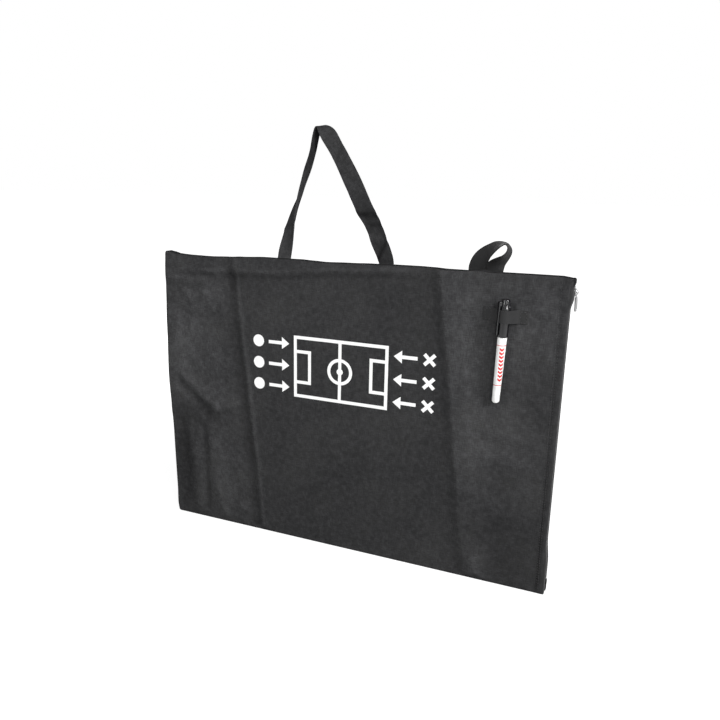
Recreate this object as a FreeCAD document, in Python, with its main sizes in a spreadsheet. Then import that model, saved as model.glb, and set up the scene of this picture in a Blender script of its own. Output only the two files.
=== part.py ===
import FreeCAD, Part
import math
import os

import Sketcher

# Driving dimensions in millimetres, and angles in degrees
DIMENSIONS = {
    # bag: X across, Y from front to back, Z up, origin under the middle of its base
    "bag_width": 600.0,
    "bag_height": 433.0,
    "bag_depth": 18.0,
    "cloth_thick": 0.8,
    # carry strap and hang loop, sewn to the back panel
    "strap_width": 23.5,
    "strap_foot_width": 22.0,
    "strap_thick": 1.6,
    "strap_span": 157.7,
    "strap_rise": 178.0,
    "strap_offset": 28.0,
    "strap_sewn_length": 42.0,
    "loop_width": 20.0,
    "loop_thick": 1.4,
    "loop_span": 23.5,
    "loop_rise": 36.0,
    "loop_from_right": 112.4,
    "loop_sewn_length": 30.0,
    "layer_gap": 0.2,
    "fold_lift": 0.3,
    # zip in the right side
    "tape_thick": 0.6,
    "tape_margin": 10.0,
    "zip_from_back": 4.7,
    "row_half_width": 1.5,
    "bead_width": 0.8,
    "tooth_reach": 0.5,
    "tooth_depth": 2.2,
    "tooth_height": 0.9,
    "tooth_pitch": 2.4,
    "stop_height": 2.0,
    "stop_gap": 0.4,
    "tab_thick": 1.6,
    "tab_inset": 1.0,
    "top_tab_height": 9.5,
    "bottom_tab_height": 18.0,
    "slider_height": 10.0,
    "slider_width": 6.0,
    "slider_plate": 0.9,
    "slider_gap": 0.3,
    "slider_post_height": 3.0,
    "slider_post_width": 1.2,
    "bail_rise": 1.7,
    "bail_thick": 0.9,
    "bail_width": 1.8,
    "bail_height": 7.2,
    "pull_length": 27.0,
    "pull_width": 6.0,
    "pull_thick": 1.3,
    "pull_round": 2.0,
    "eye_width": 2.8,
    "eye_height": 5.0,
    # pen loop on the front panel
    "strip_height": 18.0,
    "strip_thick": 1.0,
    "strip_half_span": 28.8,
    "strip_sewn_length": 12.0,
    "strip_drop": 13.0,
    "strip_gap": 0.3,
    # marker
    "marker_from_right": 81.0,
    "marker_from_top": 30.0,
    "marker_gap": 0.4,
    "cap_radius": 7.0,
    "cap_length": 48.5,
    "cap_wall": 1.3,
    "cap_end_wall": 2.5,
    "cap_round": 1.5,
    "cap_gap": 0.3,
    "cap_seat_gap": 0.1,
    "liner_wall": 1.0,
    "liner_gap": 0.1,
    "liner_length": 26.0,
    "clip_width": 4.0,
    "clip_thick": 1.6,
    "clip_gap": 0.4,
    "clip_length": 43.0,
    "clip_root_height": 6.0,
    "clip_top_drop": 3.0,
    "clip_turn": -48.0,
    "barrel_length": 84.0,
    "barrel_radius": 6.25,
    "barrel_tail_radius": 5.4,
    "barrel_wall": 1.0,
    "neck_length": 16.0,
    "plug_height": 4.0,
    "plug_spigot_length": 5.0,
    "plug_round": 3.4,
    "plug_gap": 0.1,
    "filler_radius": 3.6,
    "filler_end_gap": 0.3,
    "holder_plug_length": 8.0,
    "holder_flange": 1.2,
    "holder_cone_length": 8.0,
    "holder_tip_radius": 2.8,
    "nib_radius": 2.0,
    "nib_reach": 5.0,
    "nib_gap": 0.05,
    # board inside the bag, as long and high as the room that these leave
    "board_from_left": 7.0,
    "board_from_right": 23.0,
    "board_from_front": 4.2,
    "board_from_top": 31.9,
    "board_floor_gap": 0.3,
    "face_thick": 0.5,
    "core_thick": 3.2,
    "back_thick": 0.5,
    "panel_gap": 0.1,
    "channel_wall": 0.7,
    "channel_web": 1.4,
    "channel_lip": 9.0,
    "corner_size": 26.0,
    "corner_round": 10.0,
    "rivet_radius": 2.0,
    "rivet_gap": 0.1,
    "rivet_inset": 13.0,
    # overrun of every cutting solid
    "overrun": 1.0,
}

# Carry strap from its left foot to its right foot: share of the span, share of the rise, share of a
# quarter turn by which its width leaves the plane of the arch, share of its full width
STRAP_SHARES = [
    (0.0, 0.0, 0.0, 0.92),
    (0.010, 0.05, -0.04, 0.94),
    (0.050, 0.172, -0.26, 1.0),
    (0.100, 0.36, -0.55, 1.0),
    (0.16, 0.50, -0.70, 1.0),
    (0.243, 0.665, -0.95, 1.0),
    (0.295, 0.81, -0.92, 1.0),
    (0.332, 0.94, -0.85, 1.0),
    (0.362, 1.0, -0.80, 1.0),
    (0.410, 0.97, -0.58, 1.0),
    (0.470, 0.895, -0.14, 1.0),
    (0.547, 0.785, 0.0, 1.0),
    (0.663, 0.605, 0.0, 1.0),
    (0.784, 0.400, 0.04, 1.0),
    (0.845, 0.303, 0.10, 0.98),
    (0.92, 0.165, 0.04, 0.94),
    (0.99, 0.05, 0.0, 0.92),
    (1.0, 0.0, 0.0, 0.92),
]

# Hang loop from its left foot to its right foot, in the same shares
LOOP_SHARES = [
    (0.0, 0.0, 0.0, 1.0),
    (0.02, 0.16, -0.05, 1.0),
    (0.12, 0.42, -0.24, 1.0),
    (0.46, 0.67, -0.48, 1.0),
    (0.88, 0.87, -0.68, 1.0),
    (1.24, 0.985, -0.86, 1.0),
    (1.50, 0.96, -0.96, 1.0),
    (1.63, 0.80, -0.90, 1.0),
    (1.56, 0.56, -0.56, 1.0),
    (1.32, 0.34, -0.26, 1.0),
    (1.08, 0.15, -0.06, 1.0),
    (1.0, 0.0, 0.0, 1.0),
]

QUARTER_TURN = math.pi / 2

doc = FreeCAD.newDocument("tactics_board")
sheet = doc.addObject("Spreadsheet::Sheet", "Sizes")
for row, (alias, number) in enumerate(DIMENSIONS.items(), start=1):
    sheet.set(f"A{row}", alias)
    sheet.set(f"B{row}", str(number))
    sheet.setAlias(f"B{row}", alias)
doc.recompute()


class Size:
    """A length that keeps both its value and the sheet expression that it comes from."""

    def __init__(self, value, text):
        self.value = value
        self.text = text

    def __add__(self, other):
        return Size(self.value + as_size(other).value, f"({self.text} + {as_size(other).text})")

    def __sub__(self, other):
        return Size(self.value - as_size(other).value, f"({self.text} - {as_size(other).text})")

    def __mul__(self, times):
        return Size(self.value * times, f"({self.text} * {times})")

    def __truediv__(self, parts):
        return Size(self.value / parts, f"({self.text} / {parts})")

    def __neg__(self):
        return Size(-self.value, f"(-1 * {self.text})")


def as_size(value):
    return value if isinstance(value, Size) else Size(float(value), str(value))


class Sizes:
    """Each cell of the sheet, by its alias."""

    def __getattr__(self, alias):
        return Size(float(sheet.get(alias)), f"Sizes.{alias}")


size = Sizes()
nodes = {}


def bind(thing, field, length):
    thing.setExpression(field, as_size(length).text)


def keep(label, thing):
    thing.Label = label
    nodes[label] = thing
    return thing


def place(thing, x=0, y=0, z=0):
    bind(thing, "Placement.Base.x", x)
    bind(thing, "Placement.Base.y", y)
    bind(thing, "Placement.Base.z", z)


def box(name, low, high):
    thing = doc.addObject("Part::Box", name)
    for field, start, end in zip(("Length", "Width", "Height"), low, high):
        bind(thing, field, as_size(end) - start)
    place(thing, *low)
    return thing


def upright_cylinder(name, radius, x, y, low, high):
    thing = doc.addObject("Part::Cylinder", name)
    bind(thing, "Radius", radius)
    bind(thing, "Height", as_size(high) - low)
    place(thing, x, y, low)
    return thing


def lying_cylinder(name, axis, radius, length, x, y, z):
    thing = doc.addObject("Part::Cylinder", name)
    bind(thing, "Radius", radius)
    bind(thing, "Height", length)
    thing.Placement = FreeCAD.Placement(
        FreeCAD.Vector(), FreeCAD.Rotation(FreeCAD.Vector(0, 0, 1), axis)
    )
    place(thing, x, y, z)
    return thing


def fuse(name, things):
    joined = doc.addObject("Part::MultiFuse", name)
    joined.Shapes = things
    joined.Refine = True
    return joined


def cut(name, base, tool):
    left = doc.addObject("Part::Cut", name)
    left.Base = base
    left.Tool = tool
    return left


def rounded(name, base, radius, wanted):
    """A fillet on the edges of base for which wanted(edge) is true."""
    doc.recompute()
    thing = doc.addObject("Part::Fillet", name)
    thing.Base = base
    thing.Edges = [
        (number, radius.value, radius.value)
        for number, edge in enumerate(base.Shape.Edges, start=1)
        if wanted(edge)
    ]
    return thing


def is_along(edge, axis, low_end=None):
    """True for a straight edge along the axis, through the point low_end where that is given."""
    if not isinstance(edge.Curve, Part.Line):
        return False
    if edge.Curve.Direction.cross(axis).Length > Part.Precision.angular():
        return False
    if low_end is None:
        return True
    across = edge.Vertexes[0].Point.sub(low_end)
    return across.cross(axis).Length < Part.Precision.approximation()


def new_body(name):
    body = doc.addObject("PartDesign::Body", name)
    return body, {feature.Role: feature for feature in body.Origin.OriginFeatures}


def outline_sketch(body, planes, plane, name, points, lift=0):
    """A closed outline of straight lines, each corner held at its sizes from the origin."""
    sketch = body.newObject("Sketcher::SketchObject", name)
    sketch.AttachmentSupport = (planes[plane], [""])
    sketch.MapMode = "FlatFace"
    bind(sketch, "AttachmentOffset.Base.z", lift)
    corners = [(as_size(across), as_size(up)) for across, up in points]
    flat = [FreeCAD.Vector(across.value, up.value, 0) for across, up in corners]
    for start, end in zip(flat, flat[1:] + flat[:1]):
        sketch.addGeometry(Part.LineSegment(start, end), False)
    for index in range(len(corners)):
        following = (index + 1) % len(corners)
        sketch.addConstraint(Sketcher.Constraint("Coincident", index, 2, following, 1))
    for index, (across, up) in enumerate(corners):
        for kind, length in (("DistanceX", across), ("DistanceY", up)):
            held = Sketcher.Constraint(kind, -1, 1, index, 1, length.value)
            bind(sketch, f"Constraints[{sketch.addConstraint(held)}]", length)
    return sketch


def pad(body, sketch, name, length):
    feature = body.newObject("PartDesign::Pad", name)
    feature.Profile = sketch
    bind(feature, "Length", length)
    return feature


def extruded(name, points, low, high):
    """A body whose outline in the XY plane runs from low to high."""
    body, planes = new_body(name)
    sketch = outline_sketch(body, planes, "XY_Plane", f"{name}Outline", points, low)
    pad(body, sketch, f"{name}Pad", as_size(high) - low)
    return body


def turned(name, points):
    """A body turned about the marker's axis, its outline given as radius and height."""
    body, planes = new_body(name)
    sketch = outline_sketch(body, planes, "XZ_Plane", f"{name}Outline", points)
    feature = body.newObject("PartDesign::Revolution", f"{name}Turn")
    feature.Profile = sketch
    feature.ReferenceAxis = (sketch, ["V_Axis"])
    place(body, MARKER_X, MARKER_Y)
    return body


def round_edge(body, name, radius, wanted):
    """A fillet, as a feature of the body, on the edges for which wanted(edge) is true."""
    doc.recompute()
    base = body.Tip
    feature = body.newObject("PartDesign::Fillet", name)
    edges = enumerate(base.Shape.Edges, start=1)
    feature.Base = (base, [f"Edge{number}" for number, edge in edges if wanted(edge)])
    bind(feature, "Radius", radius)


# Planes and lines that the pieces share
HALF_WIDTH = size.bag_width / 2
HALF_DEPTH = size.bag_depth / 2
INNER_FRONT = size.cloth_thick - HALF_DEPTH
INNER_BACK = HALF_DEPTH - size.cloth_thick
INNER_TOP = size.bag_height - size.cloth_thick
FOLD_Y = HALF_DEPTH + size.strap_thick + size.layer_gap + size.strap_thick / 2
FOLD_Z = size.bag_height + size.fold_lift + size.strap_thick / 2
LOOP_FOLD_Y = HALF_DEPTH + size.loop_thick + size.layer_gap + size.loop_thick / 2
LOOP_FOLD_Z = size.bag_height + size.fold_lift + size.loop_thick / 2
ZIP_Y = HALF_DEPTH - size.zip_from_back
TEETH_X = HALF_WIDTH - size.tape_thick / 2
MARKER_X = HALF_WIDTH - size.marker_from_right
MARKER_Y = -HALF_DEPTH - size.marker_gap - size.cap_radius
CAP_TOP = size.bag_height - size.marker_from_top


def make_bag():
    keep("front_panel", box(
        "FrontPanel",
        (-HALF_WIDTH, -HALF_DEPTH, 0),
        (HALF_WIDTH, INNER_FRONT, size.bag_height),
    ))
    keep("back_panel", box(
        "BackPanel",
        (-HALF_WIDTH, INNER_BACK, 0),
        (HALF_WIDTH, HALF_DEPTH, size.bag_height),
    ))
    keep("bottom_gusset", box(
        "BottomGusset",
        (-HALF_WIDTH, INNER_FRONT, 0),
        (HALF_WIDTH, INNER_BACK, size.cloth_thick),
    ))
    keep("top_gusset", box(
        "TopGusset",
        (-HALF_WIDTH, INNER_FRONT, INNER_TOP),
        (HALF_WIDTH, INNER_BACK, size.bag_height),
    ))
    keep("left_gusset", box(
        "LeftGusset",
        (-HALF_WIDTH, INNER_FRONT, size.cloth_thick),
        (size.cloth_thick - HALF_WIDTH, INNER_BACK, INNER_TOP),
    ))


def ribbon_section(middle, along, turn, width, thick):
    """The rectangle across a flat strap that runs along a direction in the XZ plane."""
    inward = FreeCAD.Vector(along.z, 0, -along.x)
    across = inward * math.cos(turn) + FreeCAD.Vector(0, 1, 0) * math.sin(turn)
    outward = along.cross(across)
    half_width = across * (width / 2)
    half_thick = outward * (thick / 2)
    corners = [
        middle + half_width + half_thick,
        middle - half_width + half_thick,
        middle - half_width - half_thick,
        middle + half_width - half_thick,
    ]
    return Part.makePolygon(corners + corners[:1])


def half_round(middle, length, radius):
    """The rounded lower edge of a strap's foot, along X under its middle."""
    front = middle - FreeCAD.Vector(length / 2, radius, 0)
    back = middle - FreeCAD.Vector(length / 2, -radius, 0)
    under = middle - FreeCAD.Vector(length / 2, 0, radius)
    edges = [Part.LineSegment(back, front).toShape(), Part.Arc(front, under, back).toShape()]
    return Part.Face(Part.Wire(edges)).extrude(FreeCAD.Vector(length, 0, 0))


def ribbon(label, shares, left_x, fold_y, fold_z, span, rise, width, thick):
    """A flat strap as a ruled loft through its sections, with a round hem on its fold line."""
    middles = [
        FreeCAD.Vector(
            left_x.value + share_x * span.value, fold_y.value, fold_z.value + share_z * rise.value
        )
        for share_x, share_z, _, _ in shares
    ]
    up = FreeCAD.Vector(0, 0, 1)
    chords = [(after - before).normalize() for before, after in zip(middles, middles[1:])]
    tangents = [(first + second).normalize() for first, second in zip(chords, chords[1:])]
    sections = [
        ribbon_section(middle, along, turn * QUARTER_TURN, share * width.value, thick.value)
        for middle, along, (_, _, turn, share) in zip(middles, [up] + tangents + [-up], shares)
    ]
    strap = Part.makeLoft(sections, True, True)
    for middle, share in ((middles[0], shares[0][-1]), (middles[-1], shares[-1][-1])):
        strap = strap.fuse(half_round(middle, share * width.value, thick.value / 2))
    thing = doc.addObject("Part::Feature", label)
    thing.Shape = strap.removeSplitter()
    return keep(label, thing)


def sewn_ends(label, middles, width, thick, length):
    ends = [
        box(
            f"{label}End",
            (middle - width / 2, HALF_DEPTH, size.bag_height - length),
            (middle + width / 2, HALF_DEPTH + thick, size.bag_height),
        )
        for middle in middles
    ]
    group = doc.addObject("Part::Compound", f"{label}Pair")
    group.Links = ends
    keep(label, group)


def make_straps():
    strap_left = -size.strap_offset - size.strap_span / 2
    strap_right = strap_left + size.strap_span
    ribbon(
        "carry_strap", STRAP_SHARES, strap_left, FOLD_Y, FOLD_Z,
        size.strap_span, size.strap_rise, size.strap_width, size.strap_thick,
    )
    sewn_ends(
        "strap_sewn_ends", (strap_left, strap_right),
        size.strap_foot_width, size.strap_thick, size.strap_sewn_length,
    )
    loop_left = HALF_WIDTH - size.loop_from_right - size.loop_span / 2
    loop_right = loop_left + size.loop_span
    ribbon(
        "hang_loop", LOOP_SHARES, loop_left, LOOP_FOLD_Y, LOOP_FOLD_Z,
        size.loop_span, size.loop_rise, size.loop_width, size.loop_thick,
    )
    sewn_ends(
        "loop_sewn_ends", (loop_left, loop_right),
        size.loop_width, size.loop_thick, size.loop_sewn_length,
    )


# Heights along the zip, from its lower tab to its upper one
BOTTOM_TAB_TOP = size.tab_inset + size.bottom_tab_height
BOTTOM_STOP_TOP = BOTTOM_TAB_TOP + size.stop_height
TEETH_LOW = BOTTOM_STOP_TOP + size.stop_gap
TOP_TAB_LOW = size.bag_height - size.tab_inset - size.top_tab_height
TOP_STOP_LOW = TOP_TAB_LOW - size.stop_height
SLIDER_TOP = TOP_STOP_LOW - size.stop_gap
SLIDER_LOW = SLIDER_TOP - size.slider_height
SLIDER_MID = SLIDER_TOP - size.slider_height / 2
TEETH_TOP = SLIDER_TOP - size.slider_post_height - size.stop_gap
ROW_FRONT = ZIP_Y - size.row_half_width
ROW_BACK = ZIP_Y + size.row_half_width
TEETH_INNER = TEETH_X - size.tooth_depth / 2
TEETH_OUTER = TEETH_X + size.tooth_depth / 2


def make_tapes():
    inner_x = HALF_WIDTH - size.tape_thick
    margin_x = HALF_WIDTH - size.tape_margin
    front_y = INNER_FRONT + size.tape_thick
    keep("zip_tape_front", extruded("ZipTapeFront", [
        (margin_x, INNER_FRONT),
        (HALF_WIDTH, INNER_FRONT),
        (HALF_WIDTH, ROW_FRONT),
        (inner_x, ROW_FRONT),
        (inner_x, front_y),
        (margin_x, front_y),
    ], size.cloth_thick, INNER_TOP))
    back_y = INNER_BACK - size.tape_thick
    keep("zip_tape_rear", extruded("ZipTapeRear", [
        (margin_x, INNER_BACK),
        (margin_x, back_y),
        (inner_x, back_y),
        (inner_x, ROW_BACK),
        (HALF_WIDTH, ROW_BACK),
        (HALF_WIDTH, INNER_BACK),
    ], size.cloth_thick, INNER_TOP))


def tooth_row(label, name, root_y, bead_y, tip_y, low):
    """A bead along the tape's edge with a row of teeth that reach past the zip's middle line."""
    body, planes = new_body(name)
    bead = outline_sketch(body, planes, "XY_Plane", f"{name}BeadOutline", [
        (TEETH_INNER, root_y), (TEETH_OUTER, root_y), (TEETH_OUTER, bead_y), (TEETH_INNER, bead_y),
    ], TEETH_LOW)
    pad(body, bead, f"{name}Bead", TEETH_TOP - TEETH_LOW)
    tooth = outline_sketch(body, planes, "XY_Plane", f"{name}ToothOutline", [
        (TEETH_INNER, root_y), (TEETH_OUTER, root_y), (TEETH_OUTER, tip_y), (TEETH_INNER, tip_y),
    ], low)
    first_tooth = pad(body, tooth, f"{name}Tooth", size.tooth_height)
    doc.recompute()
    steps = math.floor((TEETH_TOP - low - size.tooth_height).value / size.tooth_pitch.value)
    teeth = body.newObject("PartDesign::LinearPattern", f"{name}Teeth")
    teeth.Originals = [first_tooth]
    teeth.Direction = (planes["Z_Axis"], [""])
    bind(teeth, "Length", size.tooth_pitch * steps)
    teeth.Occurrences = steps + 1
    body.Tip = teeth
    keep(label, body)


def make_teeth():
    tooth_row(
        "zip_teeth_front", "ZipTeethFront",
        ROW_FRONT, ROW_FRONT + size.bead_width, ZIP_Y + size.tooth_reach, TEETH_LOW,
    )
    tooth_row(
        "zip_teeth_rear", "ZipTeethRear",
        ROW_BACK, ROW_BACK - size.bead_width, ZIP_Y - size.tooth_reach,
        TEETH_LOW + size.tooth_pitch / 2,
    )


def make_zip_ends():
    stops = [
        box(
            "ZipTopStop",
            (TEETH_INNER, low_y, TOP_STOP_LOW),
            (TEETH_OUTER, low_y + size.bead_width, TOP_TAB_LOW),
        )
        for low_y in (ROW_FRONT, ROW_BACK - size.bead_width)
    ]
    pair = doc.addObject("Part::Compound", "ZipTopStops")
    pair.Links = stops
    keep("zip_top_stops", pair)
    keep("zip_bottom_stop", box(
        "ZipBottomStop",
        (TEETH_INNER, ROW_FRONT, BOTTOM_TAB_TOP),
        (TEETH_OUTER, ROW_BACK, BOTTOM_STOP_TOP),
    ))
    top_tab = box(
        "ZipTopTabBlock",
        (HALF_WIDTH, size.tab_inset - HALF_DEPTH, TOP_TAB_LOW),
        (HALF_WIDTH + size.tab_thick, HALF_DEPTH - size.tab_inset, TOP_TAB_LOW + size.top_tab_height),
    )
    bottom_tab = box(
        "ZipBottomTabBlock",
        (HALF_WIDTH, ROW_FRONT - size.tab_inset, size.tab_inset),
        (HALF_WIDTH + size.tab_thick, HALF_DEPTH - size.tab_inset, BOTTOM_TAB_TOP),
    )
    outer = HALF_WIDTH + size.tab_thick

    def on_outer_face(edge):
        return edge.BoundBox.XMin > outer.value - Part.Precision.approximation()

    keep("zip_top_tab", rounded("ZipTopTab", top_tab, size.tab_thick / 2, on_outer_face))
    keep("zip_bottom_tab", rounded("ZipBottomTab", bottom_tab, size.tab_thick / 2, on_outer_face))


# The slider's faces, and the line that its pull swings on
CHANNEL_INNER = TEETH_INNER - size.slider_gap
CHANNEL_OUTER = TEETH_OUTER + size.slider_gap
SLIDER_INNER = CHANNEL_INNER - size.slider_plate
SLIDER_OUTER = CHANNEL_OUTER + size.slider_plate
SLIDER_FRONT = ZIP_Y - size.slider_width / 2
SLIDER_BACK = ZIP_Y + size.slider_width / 2
PULL_X = SLIDER_OUTER + size.bail_rise / 2


def make_slider():
    block = box(
        "SliderBlock",
        (SLIDER_INNER, SLIDER_FRONT, SLIDER_LOW),
        (SLIDER_OUTER, SLIDER_BACK, SLIDER_TOP),
    )
    channel = box(
        "SliderChannel",
        (CHANNEL_INNER, ROW_FRONT - size.slider_gap, SLIDER_LOW - size.overrun),
        (CHANNEL_OUTER, ROW_BACK + size.slider_gap, SLIDER_TOP + size.overrun),
    )
    half_slot = size.tape_thick / 2 + size.slider_gap
    slot = box(
        "SliderSlot",
        (TEETH_X - half_slot, SLIDER_FRONT - size.overrun, SLIDER_LOW - size.overrun),
        (TEETH_X + half_slot, SLIDER_BACK + size.overrun, SLIDER_TOP + size.overrun),
    )
    post = box(
        "SliderPost",
        (CHANNEL_INNER, ZIP_Y - size.slider_post_width / 2, SLIDER_TOP - size.slider_post_height),
        (CHANNEL_OUTER, ZIP_Y + size.slider_post_width / 2, SLIDER_TOP),
    )
    rails = cut("SliderRails", cut("SliderHollow", block, channel), slot)
    keep("zip_slider", fuse("ZipSlider", [rails, post]))
    half_bail = size.bail_height / 2
    arch = box(
        "BailBlock",
        (SLIDER_OUTER, ZIP_Y - size.bail_width / 2, SLIDER_MID - half_bail),
        (
            SLIDER_OUTER + size.bail_rise + size.bail_thick,
            ZIP_Y + size.bail_width / 2,
            SLIDER_MID + half_bail,
        ),
    )
    under = box(
        "BailGap",
        (
            SLIDER_OUTER - size.overrun,
            ZIP_Y - size.bail_width,
            SLIDER_MID - half_bail + size.bail_thick,
        ),
        (
            SLIDER_OUTER + size.bail_rise,
            ZIP_Y + size.bail_width,
            SLIDER_MID + half_bail - size.bail_thick,
        ),
    )
    keep("slider_bail", cut("SliderBail", arch, under))


def make_pull():
    half_width = size.pull_width / 2
    half_thick = size.pull_thick / 2
    half_eye = size.eye_width / 2
    plate = box(
        "PullPlate",
        (PULL_X - half_thick, ZIP_Y - half_width, SLIDER_MID - size.pull_length),
        (PULL_X + half_thick, ZIP_Y + half_width, SLIDER_MID),
    )
    low_z = (SLIDER_MID - size.pull_length).value
    along_x = FreeCAD.Vector(1, 0, 0)

    def at_low_end(edge):
        return is_along(edge, along_x) and edge.BoundBox.ZMax < low_z + half_thick.value

    tongue = rounded("PullTongue", plate, size.pull_round, at_low_end)
    bar = lying_cylinder(
        "PullBar", FreeCAD.Vector(0, 1, 0), half_thick, size.pull_width,
        PULL_X, ZIP_Y - half_width, SLIDER_MID,
    )
    eye = box(
        "PullEye",
        (PULL_X - size.pull_thick, ZIP_Y - half_eye, SLIDER_MID - half_thick - size.eye_height),
        (PULL_X + size.pull_thick, ZIP_Y + half_eye, SLIDER_MID - half_thick),
    )
    keep("zip_pull", cut("ZipPull", fuse("PullBlank", [tongue, bar]), eye))


def make_pen_loop():
    """An elastic strip, flat on the panel at both ends and bowed over the cap between them."""
    middle = FreeCAD.Vector(MARKER_X.value, MARKER_Y.value, 0)
    panel_y = -HALF_DEPTH.value
    inner_radius = (size.cap_radius + size.strip_gap).value
    outer_radius = inner_radius + size.strip_thick.value
    outer_y = panel_y - size.strip_thick.value
    end_x = size.strip_half_span.value
    bend_x = (size.strip_half_span - size.strip_sewn_length).value

    def flat_point(across, y):
        return FreeCAD.Vector(middle.x + across, y, 0)

    def touch_point(radius, start, side):
        reach = start - middle
        spread = math.acos(radius / reach.Length)
        turn = math.atan2(reach.y, reach.x) + side * spread
        return middle + FreeCAD.Vector(math.cos(turn), math.sin(turn), 0) * radius

    def bowed(radius, y):
        left_bend = flat_point(-bend_x, y)
        right_bend = flat_point(bend_x, y)
        left_touch = touch_point(radius, left_bend, 1)
        right_touch = touch_point(radius, right_bend, -1)
        crown = middle - FreeCAD.Vector(0, radius, 0)
        return [
            Part.LineSegment(flat_point(-end_x, y), left_bend),
            Part.LineSegment(left_bend, left_touch),
            Part.Arc(left_touch, crown, right_touch),
            Part.LineSegment(right_touch, right_bend),
            Part.LineSegment(right_bend, flat_point(end_x, y)),
        ]

    body, planes = new_body("PenLoop")
    sketch = body.newObject("Sketcher::SketchObject", "PenLoopOutline")
    sketch.AttachmentSupport = (planes["XY_Plane"], [""])
    sketch.MapMode = "FlatFace"
    strip_top = CAP_TOP - size.strip_drop
    bind(sketch, "AttachmentOffset.Base.z", strip_top - size.strip_height)
    for curve in bowed(inner_radius, panel_y) + bowed(outer_radius, outer_y):
        sketch.addGeometry(curve, False)
    for across in (-end_x, end_x):
        end = Part.LineSegment(flat_point(across, panel_y), flat_point(across, outer_y))
        sketch.addGeometry(end, False)
    pad(body, sketch, "PenLoopPad", size.strip_height)
    keep("pen_loop", body)


# Heights and radii along the marker, from its cap down
CAP_LOW = CAP_TOP - size.cap_length
CAP_CEILING = CAP_TOP - size.cap_end_wall
CAP_BORE = size.cap_radius - size.cap_wall
SHOULDER = CAP_LOW - size.cap_seat_gap
TAIL = SHOULDER - size.barrel_length
NECK_RADIUS = CAP_BORE - size.cap_gap
NECK_TOP = SHOULDER + size.neck_length
NECK_BORE = NECK_RADIUS - size.barrel_wall
TAIL_BORE = size.barrel_tail_radius - size.barrel_wall
HOLDER_LOW = NECK_TOP - size.holder_plug_length
FLANGE_TOP = NECK_TOP + size.holder_flange
HOLDER_TOP = FLANGE_TOP + size.holder_cone_length
SPIGOT_TOP = TAIL + size.plug_spigot_length


def on_circle(radius, height):
    """A test for the circular edge of a radius at a height."""
    near = Part.Precision.approximation()

    def matches(edge):
        if not isinstance(edge.Curve, Part.Circle):
            return False
        off = abs(edge.Curve.Radius - radius.value) + abs(edge.Curve.Center.z - height.value)
        return off < near

    return matches


def make_cap():
    shell = cut(
        "CapShell",
        upright_cylinder("CapBlank", size.cap_radius, MARKER_X, MARKER_Y, CAP_LOW, CAP_TOP),
        upright_cylinder(
            "CapBore", CAP_BORE, MARKER_X, MARKER_Y, CAP_LOW - size.overrun, CAP_CEILING
        ),
    )
    smooth = rounded("CapSmooth", shell, size.cap_round, on_circle(size.cap_radius, CAP_TOP))
    clip_inner = size.cap_radius + size.strip_gap + size.strip_thick + size.clip_gap
    clip_outer = clip_inner + size.clip_thick
    clip_top = CAP_TOP - size.clip_top_drop
    half_clip = size.clip_width / 2
    bar = box(
        "ClipBar",
        (-half_clip, -clip_outer, clip_top - size.clip_length),
        (half_clip, -clip_inner, clip_top),
    )
    root = box(
        "ClipRoot",
        (-half_clip, -clip_inner, clip_top - size.clip_root_height),
        (half_clip, size.cap_wall / 2 - size.cap_radius, clip_top),
    )
    clip = fuse("Clip", [bar, root])
    clip.Placement = FreeCAD.Placement(
        FreeCAD.Vector(),
        FreeCAD.Rotation(FreeCAD.Vector(0, 0, 1), size.clip_turn.value),
    )
    place(clip, MARKER_X, MARKER_Y)
    keep("marker_cap", fuse("MarkerCap", [smooth, clip]))
    liner_outer = CAP_BORE - size.liner_gap
    liner_inner = liner_outer - size.liner_wall
    liner_low = CAP_CEILING - size.liner_length
    keep("cap_liner", turned("CapLiner", [
        (liner_inner, liner_low),
        (liner_outer, liner_low),
        (liner_outer, CAP_CEILING),
        (liner_inner, CAP_CEILING),
    ]))


def make_barrel():
    keep("marker_barrel", turned("MarkerBarrel", [
        (TAIL_BORE, TAIL),
        (size.barrel_tail_radius, TAIL),
        (size.barrel_radius, SHOULDER),
        (NECK_RADIUS, SHOULDER),
        (NECK_RADIUS, NECK_TOP),
        (NECK_BORE, NECK_TOP),
        (NECK_BORE, SHOULDER),
    ]))
    plug_low = TAIL - size.plug_height
    spigot = TAIL_BORE - size.plug_gap
    plug = turned("MarkerEndPlug", [
        (0, plug_low),
        (size.barrel_tail_radius, plug_low),
        (size.barrel_tail_radius, TAIL),
        (spigot, TAIL),
        (spigot, SPIGOT_TOP),
        (0, SPIGOT_TOP),
    ])
    round_edge(plug, "PlugRound", size.plug_round, on_circle(size.barrel_tail_radius, plug_low))
    keep("marker_end_plug", plug)
    filler_low = SPIGOT_TOP + size.filler_end_gap
    filler_high = HOLDER_LOW - size.filler_end_gap
    keep("marker_ink_filler", turned("MarkerInkFiller", [
        (0, filler_low),
        (size.filler_radius, filler_low),
        (size.filler_radius, filler_high),
        (0, filler_high),
    ]))


def make_nib():
    holder_bore = size.nib_radius + size.nib_gap
    plug_radius = NECK_BORE - size.plug_gap
    keep("marker_nib_holder", turned("MarkerNibHolder", [
        (holder_bore, HOLDER_LOW),
        (plug_radius, HOLDER_LOW),
        (plug_radius, NECK_TOP),
        (NECK_RADIUS, NECK_TOP),
        (NECK_RADIUS, FLANGE_TOP),
        (plug_radius - size.plug_gap, FLANGE_TOP),
        (size.holder_tip_radius, HOLDER_TOP),
        (holder_bore, HOLDER_TOP),
    ]))
    nib_tip = HOLDER_TOP + size.nib_reach
    keep("marker_nib", turned("MarkerNib", [
        (0, HOLDER_LOW),
        (size.nib_radius, HOLDER_LOW),
        (size.nib_radius, nib_tip - size.nib_radius),
        (size.nib_radius / 2, nib_tip),
        (0, nib_tip),
    ]))


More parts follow.
